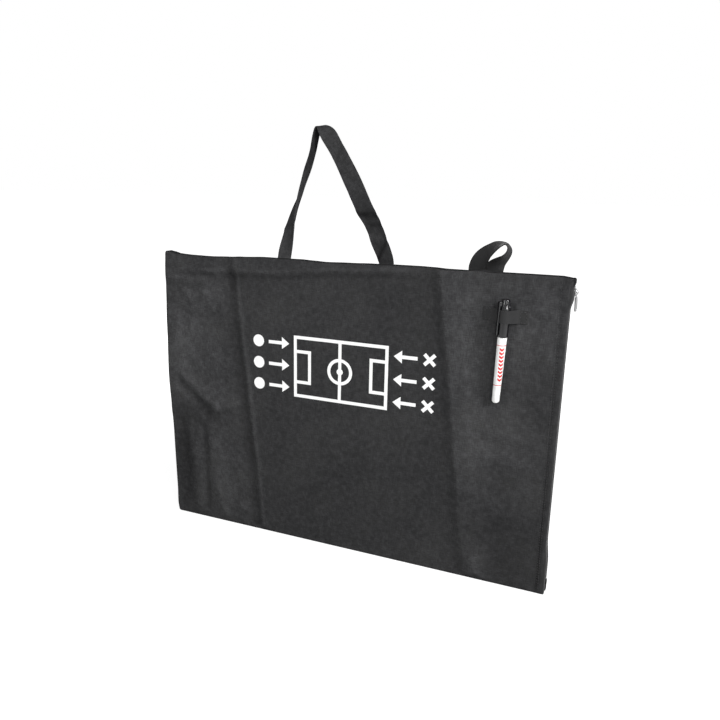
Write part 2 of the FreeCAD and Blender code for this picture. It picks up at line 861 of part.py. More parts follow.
# The board's outer faces, and the slot in its frame that holds the panel
BOARD_LEFT = size.board_from_left - HALF_WIDTH
BOARD_RIGHT = HALF_WIDTH - size.board_from_right
BOARD_LOW = size.cloth_thick + size.board_floor_gap
BOARD_TOP = size.bag_height - size.board_from_top
BOARD_FRONT = size.board_from_front - HALF_DEPTH
SLOT_FRONT = BOARD_FRONT + size.channel_wall
FACE_FRONT = SLOT_FRONT + size.panel_gap
CORE_FRONT = FACE_FRONT + size.face_thick
BACK_FRONT = CORE_FRONT + size.core_thick
PANEL_BACK = BACK_FRONT + size.back_thick
SLOT_BACK = PANEL_BACK + size.panel_gap
BOARD_BACK = SLOT_BACK + size.channel_wall
PANEL_EDGE = size.channel_web + size.panel_gap
CHANNEL_LEFT = BOARD_LEFT + size.corner_size
CHANNEL_RIGHT = BOARD_RIGHT - size.corner_size
CHANNEL_LOW = BOARD_LOW + size.corner_size
CHANNEL_HIGH = BOARD_TOP - size.corner_size
RIVET_PLACES = [
    (x, z)
    for z in (BOARD_TOP - size.rivet_inset, BOARD_LOW + size.rivet_inset)
    for x in (BOARD_LEFT + size.rivet_inset, BOARD_RIGHT - size.rivet_inset)
]


def rivet_pins(name, radius, low_y, high_y):
    """A pin through the board at each corner, along Y."""
    return [
        lying_cylinder(
            f"{name}Pin", FreeCAD.Vector(0, 1, 0), radius, high_y - low_y, x, low_y, z
        )
        for x, z in RIVET_PLACES
    ]


def drilled(name, solid):
    """The solid with a hole for each corner rivet."""
    hole = size.rivet_radius + size.rivet_gap
    pins = rivet_pins(name, hole, BOARD_FRONT - size.overrun, BOARD_BACK + size.overrun)
    return cut(name, solid, fuse(f"{name}Holes", pins))


def make_panel():
    for label, name, low_y, high_y in (
        ("board_face", "BoardFace", FACE_FRONT, CORE_FRONT),
        ("board_core", "BoardCore", CORE_FRONT, BACK_FRONT),
        ("board_back", "BoardBack", BACK_FRONT, PANEL_BACK),
    ):
        sheet_box = box(
            f"{name}Sheet",
            (BOARD_LEFT + PANEL_EDGE, low_y, BOARD_LOW + PANEL_EDGE),
            (BOARD_RIGHT - PANEL_EDGE, high_y, BOARD_TOP - PANEL_EDGE),
        )
        keep(label, drilled(name, sheet_box))


def channel(label, name, low, high, slot_low, slot_high):
    """A frame side: a bar with a slot for the panel's edge."""
    bar = box(f"{name}Bar", (low[0], BOARD_FRONT, low[1]), (high[0], BOARD_BACK, high[1]))
    slot = box(
        f"{name}Slot",
        (slot_low[0], SLOT_FRONT, slot_low[1]),
        (slot_high[0], SLOT_BACK, slot_high[1]),
    )
    keep(label, cut(name, bar, slot))


def make_frame():
    over = size.overrun
    web = size.channel_web
    lip = size.channel_lip
    channel(
        "frame_top", "FrameTop",
        (CHANNEL_LEFT, BOARD_TOP - lip), (CHANNEL_RIGHT, BOARD_TOP),
        (CHANNEL_LEFT - over, BOARD_TOP - lip - over), (CHANNEL_RIGHT + over, BOARD_TOP - web),
    )
    channel(
        "frame_bottom", "FrameBottom",
        (CHANNEL_LEFT, BOARD_LOW), (CHANNEL_RIGHT, BOARD_LOW + lip),
        (CHANNEL_LEFT - over, BOARD_LOW + web), (CHANNEL_RIGHT + over, BOARD_LOW + lip + over),
    )
    channel(
        "frame_left", "FrameLeft",
        (BOARD_LEFT, CHANNEL_LOW), (BOARD_LEFT + lip, CHANNEL_HIGH),
        (BOARD_LEFT + web, CHANNEL_LOW - over), (BOARD_LEFT + lip + over, CHANNEL_HIGH + over),
    )
    channel(
        "frame_right", "FrameRight",
        (BOARD_RIGHT - lip, CHANNEL_LOW), (BOARD_RIGHT, CHANNEL_HIGH),
        (BOARD_RIGHT - lip - over, CHANNEL_LOW - over), (BOARD_RIGHT - web, CHANNEL_HIGH + over),
    )


def make_corners():
    """Four moulded corners that close the frame, each slotted for the panel's corner."""
    slot = box(
        "CornerSlot",
        (BOARD_LEFT + size.channel_web, SLOT_FRONT, BOARD_LOW + size.channel_web),
        (BOARD_RIGHT - size.channel_web, SLOT_BACK, BOARD_TOP - size.channel_web),
    )
    sides = (
        ("left", BOARD_LEFT, CHANNEL_LEFT, BOARD_LEFT),
        ("right", CHANNEL_RIGHT, BOARD_RIGHT, BOARD_RIGHT),
    )
    levels = (
        ("top", CHANNEL_HIGH, BOARD_TOP, BOARD_TOP),
        ("bottom", BOARD_LOW, CHANNEL_LOW, BOARD_LOW),
    )
    along_y = FreeCAD.Vector(0, 1, 0)
    for side, low_x, high_x, tip_x in sides:
        for level, low_z, high_z, tip_z in levels:
            name = f"Corner{level.title()}{side.title()}"
            block = box(f"{name}Block", (low_x, BOARD_FRONT, low_z), (high_x, BOARD_BACK, high_z))
            tip = FreeCAD.Vector(tip_x.value, 0, tip_z.value)

            def at_tip(edge, tip=tip):
                return is_along(edge, along_y, tip)

            smooth = rounded(f"{name}Smooth", block, size.corner_round, at_tip)
            hollow = cut(f"{name}Hollow", smooth, slot)
            keep(f"corner_{level}_{side}", drilled(name, hollow))
    rivets = doc.addObject("Part::Compound", "CornerRivets")
    rivets.Links = rivet_pins("CornerRivet", size.rivet_radius, BOARD_FRONT, BOARD_BACK)
    keep("corner_rivets", rivets)


def check_document():
    doc.recompute()
    for thing in doc.Objects:
        if "Invalid" in thing.State or "Error" in thing.State:
            raise RuntimeError(f"{thing.Label} failed: {thing.State}")
    for label, thing in nodes.items():
        shape = thing.Shape
        if shape.isNull() or not shape.isValid() or not shape.Solids:
            raise RuntimeError(f"{label} has no valid solid")


def write_parts():
    os.makedirs("parts", exist_ok=True)
    for label, thing in nodes.items():
        thing.Shape.exportStep(f"parts/{label}.step")
        print(f"{label}: {len(thing.Shape.Solids)} solid(s), {thing.Shape.Volume:.1f} mm3")


make_bag()
make_straps()
make_tapes()
make_teeth()
make_zip_ends()
make_slider()
make_pull()
make_pen_loop()
make_cap()
make_barrel()
make_nib()
make_panel()
make_frame()
make_corners()
check_document()
write_parts()
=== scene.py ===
import math

import bpy
from mathutils import Matrix, Vector, noise


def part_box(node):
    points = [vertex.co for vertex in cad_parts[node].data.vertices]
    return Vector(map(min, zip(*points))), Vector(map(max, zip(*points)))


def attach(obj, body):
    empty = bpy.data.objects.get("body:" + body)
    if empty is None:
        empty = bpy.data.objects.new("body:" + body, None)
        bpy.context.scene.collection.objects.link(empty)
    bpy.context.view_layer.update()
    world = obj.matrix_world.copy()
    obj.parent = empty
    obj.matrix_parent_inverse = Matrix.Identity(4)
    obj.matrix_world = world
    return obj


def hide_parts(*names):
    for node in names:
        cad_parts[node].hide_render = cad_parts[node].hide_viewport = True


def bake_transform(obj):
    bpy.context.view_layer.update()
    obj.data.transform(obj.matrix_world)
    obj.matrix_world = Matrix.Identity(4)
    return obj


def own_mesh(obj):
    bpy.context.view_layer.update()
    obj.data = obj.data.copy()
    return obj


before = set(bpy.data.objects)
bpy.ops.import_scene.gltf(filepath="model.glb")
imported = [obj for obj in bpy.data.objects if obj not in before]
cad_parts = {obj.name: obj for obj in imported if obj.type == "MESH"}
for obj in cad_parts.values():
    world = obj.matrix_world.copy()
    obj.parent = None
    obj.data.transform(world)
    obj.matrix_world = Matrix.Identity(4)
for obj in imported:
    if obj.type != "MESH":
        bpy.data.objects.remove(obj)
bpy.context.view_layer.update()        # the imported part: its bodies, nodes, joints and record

mm = 0.001
quarterTurn = math.pi / 2
within, weld = 0.1, 0.001    # millimetres within which places match, and within which points are one


# Small tools for picking, shaping and finishing a mesh

def clearSelection():
    if bpy.context.object and bpy.context.object.mode != "OBJECT":
        bpy.ops.object.mode_set(mode="OBJECT")
    bpy.ops.object.select_all(action="DESELECT")


def makeActive(piece):
    clearSelection()
    piece.select_set(True)
    bpy.context.view_layer.objects.active = piece


def editAll(piece):    # edit mode with all of the piece selected
    makeActive(piece)
    bpy.ops.object.mode_set(mode="EDIT")
    bpy.ops.mesh.select_all(action="SELECT")


def leaveEdit():
    bpy.ops.object.mode_set(mode="OBJECT")


def applyPlace(piece):    # its place, turn and size go into its points
    makeActive(piece)
    bpy.ops.object.transform_apply(location=True, rotation=True, scale=True)


def newPiece(name, points, faces, edges=()):    # points in millimetres
    mesh = bpy.data.meshes.new(name)
    mesh.from_pydata([Vector(point) * mm for point in points], list(edges), faces)
    piece = bpy.data.objects.new(name, mesh)
    bpy.context.scene.collection.objects.link(piece)
    makeActive(piece)
    return piece


def addBlock(name, low, high):    # a cube at its size and place, corners in millimetres
    clearSelection()
    low, high = Vector(low) * mm, Vector(high) * mm
    bpy.ops.mesh.primitive_cube_add(size=1, location=(low + high) / 2)
    piece = bpy.context.object
    piece.name = piece.data.name = name
    piece.scale = high - low
    applyPlace(piece)
    return piece


def addTube(name, radius, low, high, axis, sides):    # an upright cylinder
    clearSelection()
    bpy.ops.mesh.primitive_cylinder_add(
        vertices=sides, radius=radius * mm, depth=(high - low) * mm,
        location=(axis.x * mm, axis.y * mm, (low + high) / 2 * mm),
    )
    piece = bpy.context.object
    piece.name = piece.data.name = name
    applyPlace(piece)
    return piece


def pickParts(piece, kind, wanted):    # leaves edit mode with just those vertices, edges or faces selected
    makeActive(piece)
    mode = {"vertices": "VERT", "edges": "EDGE", "polygons": "FACE"}[kind]
    bpy.ops.object.mode_set(mode="EDIT")
    bpy.ops.mesh.select_mode(type=mode)
    bpy.ops.mesh.select_all(action="DESELECT")
    bpy.ops.object.mode_set(mode="OBJECT")
    for part in getattr(piece.data, kind):
        part.select = wanted(part)
    bpy.ops.object.mode_set(mode="EDIT")


def edgeMiddle(piece, edge):
    first, second = (piece.data.vertices[index].co for index in edge.vertices)
    return (first + second) / 2 / mm


def cutAcross(piece, axis, places):    # a row of edges across the piece at each place
    makeActive(piece)
    bpy.ops.object.mode_set(mode="EDIT")
    for place in places:
        bpy.ops.mesh.select_all(action="SELECT")
        bpy.ops.mesh.bisect(plane_co=Vector(axis) * place * mm, plane_no=axis)
    leaveEdit()


def useModifier(piece, kind, **settings):
    makeActive(piece)
    modifier = piece.modifiers.new(kind.title(), kind)
    for field, value in settings.items():
        setattr(modifier, field, value)
    bpy.ops.object.modifier_apply(modifier=modifier.name)


def softenEdges(piece, width, segments=2, angle=40):
    useModifier(
        piece, "BEVEL", width=width * mm, segments=segments,
        limit_method="ANGLE", angle_limit=math.radians(angle),
    )


def smoothFaces(piece, angle=40):
    makeActive(piece)
    bpy.ops.object.shade_smooth_by_angle(angle=math.radians(angle))


def turnOutwards(piece):
    editAll(piece)
    bpy.ops.mesh.remove_doubles(threshold=weld * mm)
    bpy.ops.mesh.normals_make_consistent(inside=False)
    leaveEdit()


def keepHalf(piece, direction):    # only what lies on that side of the origin
    editAll(piece)
    bpy.ops.mesh.bisect(plane_co=(0, 0, 0), plane_no=direction, clear_inner=True, use_fill=True)
    leaveEdit()


def joinPieces(name, pieces):
    clearSelection()
    for piece in pieces:
        piece.select_set(True)
    bpy.context.view_layer.objects.active = pieces[0]
    bpy.ops.object.join()
    joined = bpy.context.object
    joined.name = joined.data.name = name
    return joined


def paint(piece, material):
    piece.data.materials.clear()
    piece.data.materials.append(material)


def dress(piece, material, body, nodes=()):    # its finish, what it rides on and what it stands for
    paint(piece, material)
    if body:
        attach(piece, body)
    if nodes:
        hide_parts(*nodes)


def boxOf(node):    # a node's corners in millimetres
    low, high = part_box(node)
    return low / mm, high / mm


def middleOf(node):
    low, high = boxOf(node)
    return (low + high) / 2


def radiusOf(node):
    low, high = boxOf(node)
    return (high.x - low.x) / 2


def ease(share):
    share = min(max(share, 0.0), 1.0)
    return share * share * (3 - 2 * share)


def readAlong(pairs, at, eased=False):    # the value at a place, between listed pairs
    if at <= pairs[0][0]:
        return pairs[0][1]
    for (start, before), (end, after) in zip(pairs, pairs[1:]):
        if at <= end:
            share = (at - start) / (end - start)
            return before + (after - before) * (ease(share) if eased else share)
    return pairs[-1][1]


def crumple(kind, x, y):    # soft unevenness, the same on every run; its kind: height, size and seed
    height, size, seed = kind
    return height * noise.noise(Vector((x / size, y / size, seed)))


# Camera, light and floor

camera = {
    "place": (365.9, -855.0, 534.4),
    "forward": (-0.36375, 0.89758, -0.24906),
    "up": (-0.11293, 0.22291, 0.96828),
    "lens": 33.58,
    "sensor": 36.0,
}


def addCamera():
    clearSelection()
    bpy.ops.object.camera_add(location=Vector(camera["place"]) * mm)
    eye = bpy.context.object
    back = -Vector(camera["forward"]).normalized()
    right = Vector(camera["up"]).cross(back).normalized()
    up = back.cross(right)
    eye.rotation_mode = "QUATERNION"
    eye.rotation_quaternion = Matrix((right, up, back)).transposed().to_quaternion()
    eye.data.lens = camera["lens"]
    eye.data.sensor_width = camera["sensor"]
    eye.data.clip_start = 0.01
    bpy.context.scene.camera = eye


lamps = [    # place and aim in metres, size in metres, power in watts
    {"name": "keyLamp", "place": (2.3, -1.3, 2.0), "aim": (0.05, 0.0, 0.25), "size": 0.7, "power": 60},
    {"name": "sideLamp", "place": (2.5, -0.65, 1.05), "aim": (0.2, 0.0, 0.3), "size": 0.6, "power": 27},
    {"name": "frontLamp", "place": (0.95, -1.2, 0.8), "aim": (0.1, 0.0, 0.2), "size": 0.3, "power": 6},
    {"name": "fillLamp", "place": (-1.0, -1.5, 0.9), "aim": (0.0, 0.0, 0.2), "size": 0.7, "power": 15},
    {"name": "backLamp", "place": (-0.8, 1.7, 1.2), "aim": (0.0, 0.0, 0.2), "size": 1.4, "power": 22},
]


def addLamps():
    for lamp in lamps:
        clearSelection()
        bpy.ops.object.light_add(type="AREA", location=lamp["place"])
        light = bpy.context.object
        light.name = lamp["name"]
        light.data.shape = "SQUARE"
        light.data.size = lamp["size"]
        light.data.energy = lamp["power"]
        toward = Vector(lamp["aim"]) - Vector(lamp["place"])
        light.rotation_euler = toward.to_track_quat("-Z", "Y").to_euler()


surround = {
    "floorWidth": 60.0, "floorColour": 0.5, "nearGlow": 0.7, "farGlow": 1.0, "glowFrom": 0.5, "glowTo": 1.6,
    "worldLight": 0.12,
}


def seenRays(tree):    # 1 for what the camera sees, straight or in a mirror or glass
    path = tree.nodes.new("ShaderNodeLightPath")
    mirrored = calc(tree, "MAXIMUM", path.outputs["Is Glossy Ray"], path.outputs["Is Transmission Ray"])
    return calc(tree, "MAXIMUM", path.outputs["Is Camera Ray"], mirrored)


def addSurround():
    world = bpy.context.scene.world or bpy.data.worlds.new("studio")
    bpy.context.scene.world = world
    world.use_nodes = True
    tree = world.node_tree
    light = surround["worldLight"]
    glow = calc(tree, "MULTIPLY_ADD", seenRays(tree), 1 - light, light)
    wire(tree, tree.nodes["Background"], {"Color": grey(1), "Strength": glow})
    clearSelection()
    bpy.ops.mesh.primitive_plane_add(size=surround["floorWidth"])
    floor = bpy.context.object
    floor.name = "studioFloor"
    paper, tree, shader = newMaterial("palePaper")
    reach = tree.nodes.new("ShaderNodeVectorMath")
    reach.operation = "LENGTH"
    tree.links.new(placeOf(tree), reach.inputs[0])
    glow = remap(tree, reach.outputs["Value"], surround["glowFrom"], surround["glowTo"],
                 surround["nearGlow"], surround["farGlow"])    # white further off, a soft shadow near the bag
    wire(tree, shader, {
        "Base Color": grey(surround["floorColour"]), "Roughness": 0.9, "Specular IOR Level": 0.1,
        "Emission Color": grey(1), "Emission Strength": calc(tree, "MULTIPLY", seenRays(tree), glow),
    })
    floor.data.materials.append(paper)
    bpy.context.scene.view_settings.view_transform = "Standard"


# Node tools and the effects that materials share

def feed(tree, socket, value):
    if isinstance(value, bpy.types.NodeSocket):
        tree.links.new(value, socket)
    else:
        socket.default_value = value


def wire(tree, node, values):    # each named socket of a node gets its link or its value
    for name, value in values.items():
        feed(tree, node.inputs[name], value)


def calc(tree, operation, *values):
    node = tree.nodes.new("ShaderNodeMath")
    node.operation = operation
    for socket, value in zip(node.inputs, values):
        feed(tree, socket, value)
    return node.outputs[0]


def blendColours(tree, share, first, second):
    node = tree.nodes.new("ShaderNodeMix")
    node.data_type = "RGBA"
    wire(tree, node, {"Factor": share, "A": first, "B": second})
    return node.outputs["Result"]


def remap(tree, value, low, high, toLow=0.0, toHigh=1.0):
    node = tree.nodes.new("ShaderNodeMapRange")
    node.interpolation_type = "SMOOTHSTEP"
    wire(tree, node, {"Value": value, "From Min": low, "From Max": high, "To Min": toLow, "To Max": toHigh})
    return node.outputs["Result"]


def speckle(tree, vector, scale, detail=3.0, rough=0.55):
    node = tree.nodes.new("ShaderNodeTexNoise")
    wire(tree, node, {"Vector": vector, "Scale": scale, "Detail": detail, "Roughness": rough})
    return node.outputs["Fac"]


def shade(colour, tree, amount):    # each part of a colour or a place times the amount
    node = tree.nodes.new("ShaderNodeVectorMath")
    node.operation = "SCALE"
    feed(tree, node.inputs[0], colour)
    feed(tree, node.inputs["Scale"], amount)
    return node.outputs[0]


def swapAxes(tree, vector):    # the same flat place turned a quarter
    parts = splitVector(tree, vector)
    node = tree.nodes.new("ShaderNodeCombineXYZ")
    for source, target in ((1, 0), (0, 1), (2, 2)):
        tree.links.new(parts[source], node.inputs[target])
    return node.outputs[0]


def splitVector(tree, vector):
    node = tree.nodes.new("ShaderNodeSeparateXYZ")
    feed(tree, node.inputs[0], vector)
    return node.outputs


def grey(level, blue=1.0):
    return (level, level, level * blue, 1)


def newMaterial(name):
    material = bpy.data.materials.new(name)
    material.use_nodes = True
    return material, material.node_tree, material.node_tree.nodes["Principled BSDF"]


def placeOf(tree):    # a point's place on the object, in metres
    return tree.nodes.new("ShaderNodeTexCoord").outputs["Object"]


def clothMap(tree):    # a point's place on the flat cloth, in metres
    node = tree.nodes.new("ShaderNodeUVMap")
    node.uv_map = "cloth"
    return node.outputs["UV"]


def pointMark(tree, name):    # a number that each point of the piece carries
    node = tree.nodes.new("ShaderNodeAttribute")
    node.attribute_name = name
    return node.outputs["Fac"]


def newGroup(name, inputs, outputs):
    group = bpy.data.node_groups.new(name, "ShaderNodeTree")
    for label, kind, value in inputs:
        socket = group.interface.new_socket(name=label, in_out="INPUT", socket_type=f"NodeSocket{kind}")
        if value is not None:
            socket.default_value = value
    for label, kind in outputs:
        group.interface.new_socket(name=label, in_out="OUTPUT", socket_type=f"NodeSocket{kind}")
    given = group.nodes.new("NodeGroupInput").outputs
    result = group.nodes.new("NodeGroupOutput").inputs
    return group, given, result


def placeGroup(tree, group, **values):
    node = tree.nodes.new("ShaderNodeGroup")
    node.node_tree = group
    wire(tree, node, values)
    return node.outputs


def bumpFrom(tree, shader, height, distance, strength=1.0):
    bump = tree.nodes.new("ShaderNodeBump")
    wire(tree, bump, {"Distance": distance * mm, "Strength": strength, "Height": height})
    tree.links.new(bump.outputs["Normal"], shader.inputs["Normal"])


def wave(tree, turn):    # a rounded ridge for each whole step
    return calc(tree, "SINE", calc(tree, "MULTIPLY", calc(tree, "FRACT", turn), math.pi))


def weaveGroup():    # over-and-under threads, each a rounded ridge
    group, given, result = newGroup(
        "weave", [("Vector", "Vector", None), ("Pitch", "Float", 0.6)],
        [("Height", "Float"), ("Gap", "Float")],
    )
    scale = calc(group, "DIVIDE", 1 / mm, given["Pitch"])
    flat = splitVector(group, given["Vector"])
    across = calc(group, "MULTIPLY", flat[0], scale)
    along = calc(group, "MULTIPLY", flat[1], scale)
    cell = calc(group, "ADD", calc(group, "FLOOR", across), calc(group, "FLOOR", along))
    over = calc(group, "PINGPONG", cell, 1.0)
    warp = calc(group, "MULTIPLY", wave(group, across), over)
    weft = calc(group, "MULTIPLY", wave(group, along), calc(group, "SUBTRACT", 1.0, over))
    height = calc(group, "ADD", warp, weft)
    group.links.new(height, result["Height"])
    group.links.new(remap(group, height, 0.45, 0.0), result["Gap"])
    return group


def ribGroup():    # straight rounded ribs along the cloth, with finer threads across them
    group, given, result = newGroup(
        "ribs", [("Vector", "Vector", None), ("Rib", "Float", 1.2), ("Thread", "Float", 0.5)],
        [("Height", "Float"), ("Groove", "Float")],
    )
    flat = splitVector(group, given["Vector"])
    waves = []
    for axis, size in ((0, "Rib"), (1, "Thread")):
        turn = calc(group, "DIVIDE", flat[axis], calc(group, "MULTIPLY", given[size], mm))
        waves.append(wave(group, turn))
    height = calc(group, "MULTIPLY_ADD", waves[1], 0.3, waves[0])
    group.links.new(height, result["Height"])
    group.links.new(remap(group, waves[0], 0.5, 0.0), result["Groove"])
    return group


def handlingGroup():    # where a surface has been rubbed and dusted, in soft patches
    group, given, result = newGroup(
        "handling", [("Vector", "Vector", None), ("Patch", "Float", 60.0), ("Amount", "Float", 0.5)],
        [("Mask", "Float")],
    )
    scaled = shade(given["Vector"], group, calc(group, "DIVIDE", 1 / mm, given["Patch"]))
    broad = speckle(group, scaled, 1.0, 4.0, 0.6)
    group.links.new(calc(group, "MULTIPLY", remap(group, broad, 0.35, 0.7), given["Amount"]), result["Mask"])
    return group


def scuffGroup():    # fine hairline marks along one direction
    group, given, result = newGroup(
        "scuffs", [("Vector", "Vector", None), ("Length", "Float", 20.0), ("Width", "Float", 0.2)],
        [("Mask", "Float")],
    )
    flat = splitVector(group, given["Vector"])
    stretched = group.nodes.new("ShaderNodeCombineXYZ")
    for index, size in enumerate(("Length", "Width", "Width")):
        shrunk = calc(group, "DIVIDE", calc(group, "DIVIDE", flat[index], mm), given[size])
        group.links.new(shrunk, stretched.inputs[index])
    group.links.new(speckle(group, stretched.outputs[0], 1.0, 2.0, 0.5), result["Mask"])
    return group


# Print: each group gives 1 inside a drawn mark and 0 outside, on a flat place in metres

inked = {"softEdge": 0.12, "headSlope": 0.75}


def printGroup(name, inputs, distance):    # distance(tree, given, across, up) is below 0 inside the mark
    group, given, result = newGroup(
        name, [("Across", "Float", 0.0), ("Up", "Float", 0.0)] + [(label, "Float", 0.0) for label in inputs],
        [("Ink", "Float")],
    )
    across = calc(group, "DIVIDE", given["Across"], mm)
    up = calc(group, "DIVIDE", given["Up"], mm)
    soft, off = inked["softEdge"], distance(group, given, across, up)
    group.links.new(remap(group, off, soft, -soft), result["Ink"])
    return group


def discDistance(tree, given, across, up):
    reach = calc(tree, "SQRT", calc(tree, "MULTIPLY_ADD", across, across, calc(tree, "MULTIPLY", up, up)))
    return calc(tree, "SUBTRACT", reach, given["Radius"])


def ringDistance(tree, given, across, up):
    off = calc(tree, "ABSOLUTE", discDistance(tree, given, across, up))
    return calc(tree, "MULTIPLY_ADD", given["Stroke"], -0.5, off)


def barDistance(tree, given, across, up):
    wide = calc(tree, "SUBTRACT", calc(tree, "ABSOLUTE", across), given["HalfWidth"])
    high = calc(tree, "SUBTRACT", calc(tree, "ABSOLUTE", up), given["HalfHeight"])
    return calc(tree, "MAXIMUM", wide, high)


def frameDistance(tree, given, across, up):
    off = calc(tree, "ABSOLUTE", barDistance(tree, given, across, up))
    return calc(tree, "MULTIPLY_ADD", given["Stroke"], -0.5, off)


def crossDistance(tree, given, across, up):    # two slanting strokes
    turned = [
        calc(tree, "MULTIPLY", calc(tree, way, across, up), math.sqrt(0.5)) for way in ("ADD", "SUBTRACT")
    ]
    arms = []
    for along, beside in (turned, turned[::-1]):
        long = calc(tree, "SUBTRACT", calc(tree, "ABSOLUTE", along), given["Reach"])
        thin = calc(tree, "MULTIPLY_ADD", given["Stroke"], -0.5, calc(tree, "ABSOLUTE", beside))
        arms.append(calc(tree, "MAXIMUM", long, thin))
    return calc(tree, "MINIMUM", *arms)


def arrowDistance(tree, given, across, up):    # a shaft with a solid head at its inner end, pointing to 0
    beside = calc(tree, "ABSOLUTE", up)
    thin = calc(tree, "MULTIPLY_ADD", given["Stroke"], -0.5, beside)
    off = calc(tree, "ABSOLUTE", calc(tree, "SUBTRACT", across, given["Reach"]))
    shaft = calc(tree, "MAXIMUM", thin, calc(tree, "SUBTRACT", off, given["Reach"]))
    slope = calc(tree, "SUBTRACT", beside, calc(tree, "MULTIPLY", across, inked["headSlope"]))
    head = calc(tree, "MAXIMUM", slope, calc(tree, "SUBTRACT", across, given["Head"]))
    inHead = calc(tree, "MULTIPLY_ADD", given["Head"], 0.5, calc(tree, "MULTIPLY", across, -1.0))
    return calc(tree, "MINIMUM", calc(tree, "MAXIMUM", shaft, inHead), head)


def makeGroups():
    return {
        "weave": weaveGroup(),
        "ribs": ribGroup(),
        "handling": handlingGroup(),
        "scuffs": scuffGroup(),
        "disc": printGroup("printedDisc", ["Radius"], discDistance),
        "ring": printGroup("printedRing", ["Radius", "Stroke"], ringDistance),
        "bar": printGroup("printedBar", ["HalfWidth", "HalfHeight"], barDistance),
        "frame": printGroup("printedFrame", ["HalfWidth", "HalfHeight", "Stroke"], frameDistance),
        "cross": printGroup("printedCross", ["Reach", "Stroke"], crossDistance),
        "arrow": printGroup("printedArrow", ["Reach", "Stroke", "Head"], arrowDistance),
    }


groups = makeGroups()


def printMark(tree, kind, across, up, **sizes):
    return placeGroup(tree, groups[kind], Across=across, Up=up, **sizes)["Ink"]


def shifted(tree, value, by):    # by in millimetres
    return calc(tree, "SUBTRACT", value, by * mm)


def mostOf(tree, marks):
    whole = marks[0]
    for mark in marks[1:]:
        whole = calc(tree, "MAXIMUM", whole, mark)
    return whole


def pitchLines(tree, across, up, pitch):    # a plain pitch: outline, halfway line, centre circle, goal areas
    stroke = pitch["stroke"]
    halfWide, halfHigh = pitch["width"] / 2, pitch["height"] / 2
    outward = calc(tree, "ABSOLUTE", across)
    return [
        printMark(tree, "frame", across, up, HalfWidth=halfWide, HalfHeight=halfHigh, Stroke=stroke),
        printMark(tree, "bar", across, up, HalfWidth=stroke / 2, HalfHeight=halfHigh),
        printMark(tree, "ring", across, up, Radius=pitch["circle"], Stroke=stroke),
        printMark(tree, "disc", across, up, Radius=stroke),
        printMark(tree, "frame", shifted(tree, outward, halfWide), up,
                  HalfWidth=pitch["goalDeep"], HalfHeight=pitch["goalHigh"] / 2, Stroke=stroke),
    ]


bagPrint = {
    "middle": (-8.0, 278.0), "pitch": {
        "width": 142.0, "height": 88.0, "stroke": 4.8, "circle": 17.0, "goalDeep": 23.0, "goalHigh": 46.0,
    },
    "rowGap": 33.0, "markFrom": 132.0, "dot": 9.0, "crossReach": 10.5, "stroke": 5.0,
    "arrowFrom": 81.0, "arrowReach": 17.0, "arrowHead": 12.0,
}


def bagPrintInk(tree, place):
    axes = splitVector(tree, place)
    across = shifted(tree, axes[0], bagPrint["middle"][0])
    up = shifted(tree, axes[2], bagPrint["middle"][1])
    outward = calc(tree, "ABSOLUTE", across)
    gap, pitch, stroke = bagPrint["rowGap"] * mm, bagPrint["pitch"], bagPrint["stroke"]
    row = calc(tree, "ROUND", calc(tree, "DIVIDE", up, gap))
    row = calc(tree, "MINIMUM", calc(tree, "MAXIMUM", row, -1.0), 1.0)
    inRow = calc(tree, "MULTIPLY_ADD", row, -gap, up)    # the same marks in three rows
    lines = mostOf(tree, pitchLines(tree, across, up, pitch))
    inPitch = calc(tree, "LESS_THAN", outward, (pitch["width"] + pitch["stroke"]) / 2 * mm)
    marks = [
        calc(tree, "MULTIPLY", lines, inPitch),
        printMark(tree, "disc", shifted(tree, across, -bagPrint["markFrom"]), inRow, Radius=bagPrint["dot"]),
        printMark(tree, "cross", shifted(tree, across, bagPrint["markFrom"]), inRow,
                  Reach=bagPrint["crossReach"], Stroke=stroke),
        printMark(tree, "arrow", shifted(tree, outward, bagPrint["arrowFrom"]), inRow,
                  Reach=bagPrint["arrowReach"], Stroke=stroke, Head=bagPrint["arrowHead"]),
    ]
    onFront = calc(tree, "LESS_THAN", axes[1], 0.0)
    return calc(tree, "MULTIPLY", mostOf(tree, marks), onFront)


# Materials

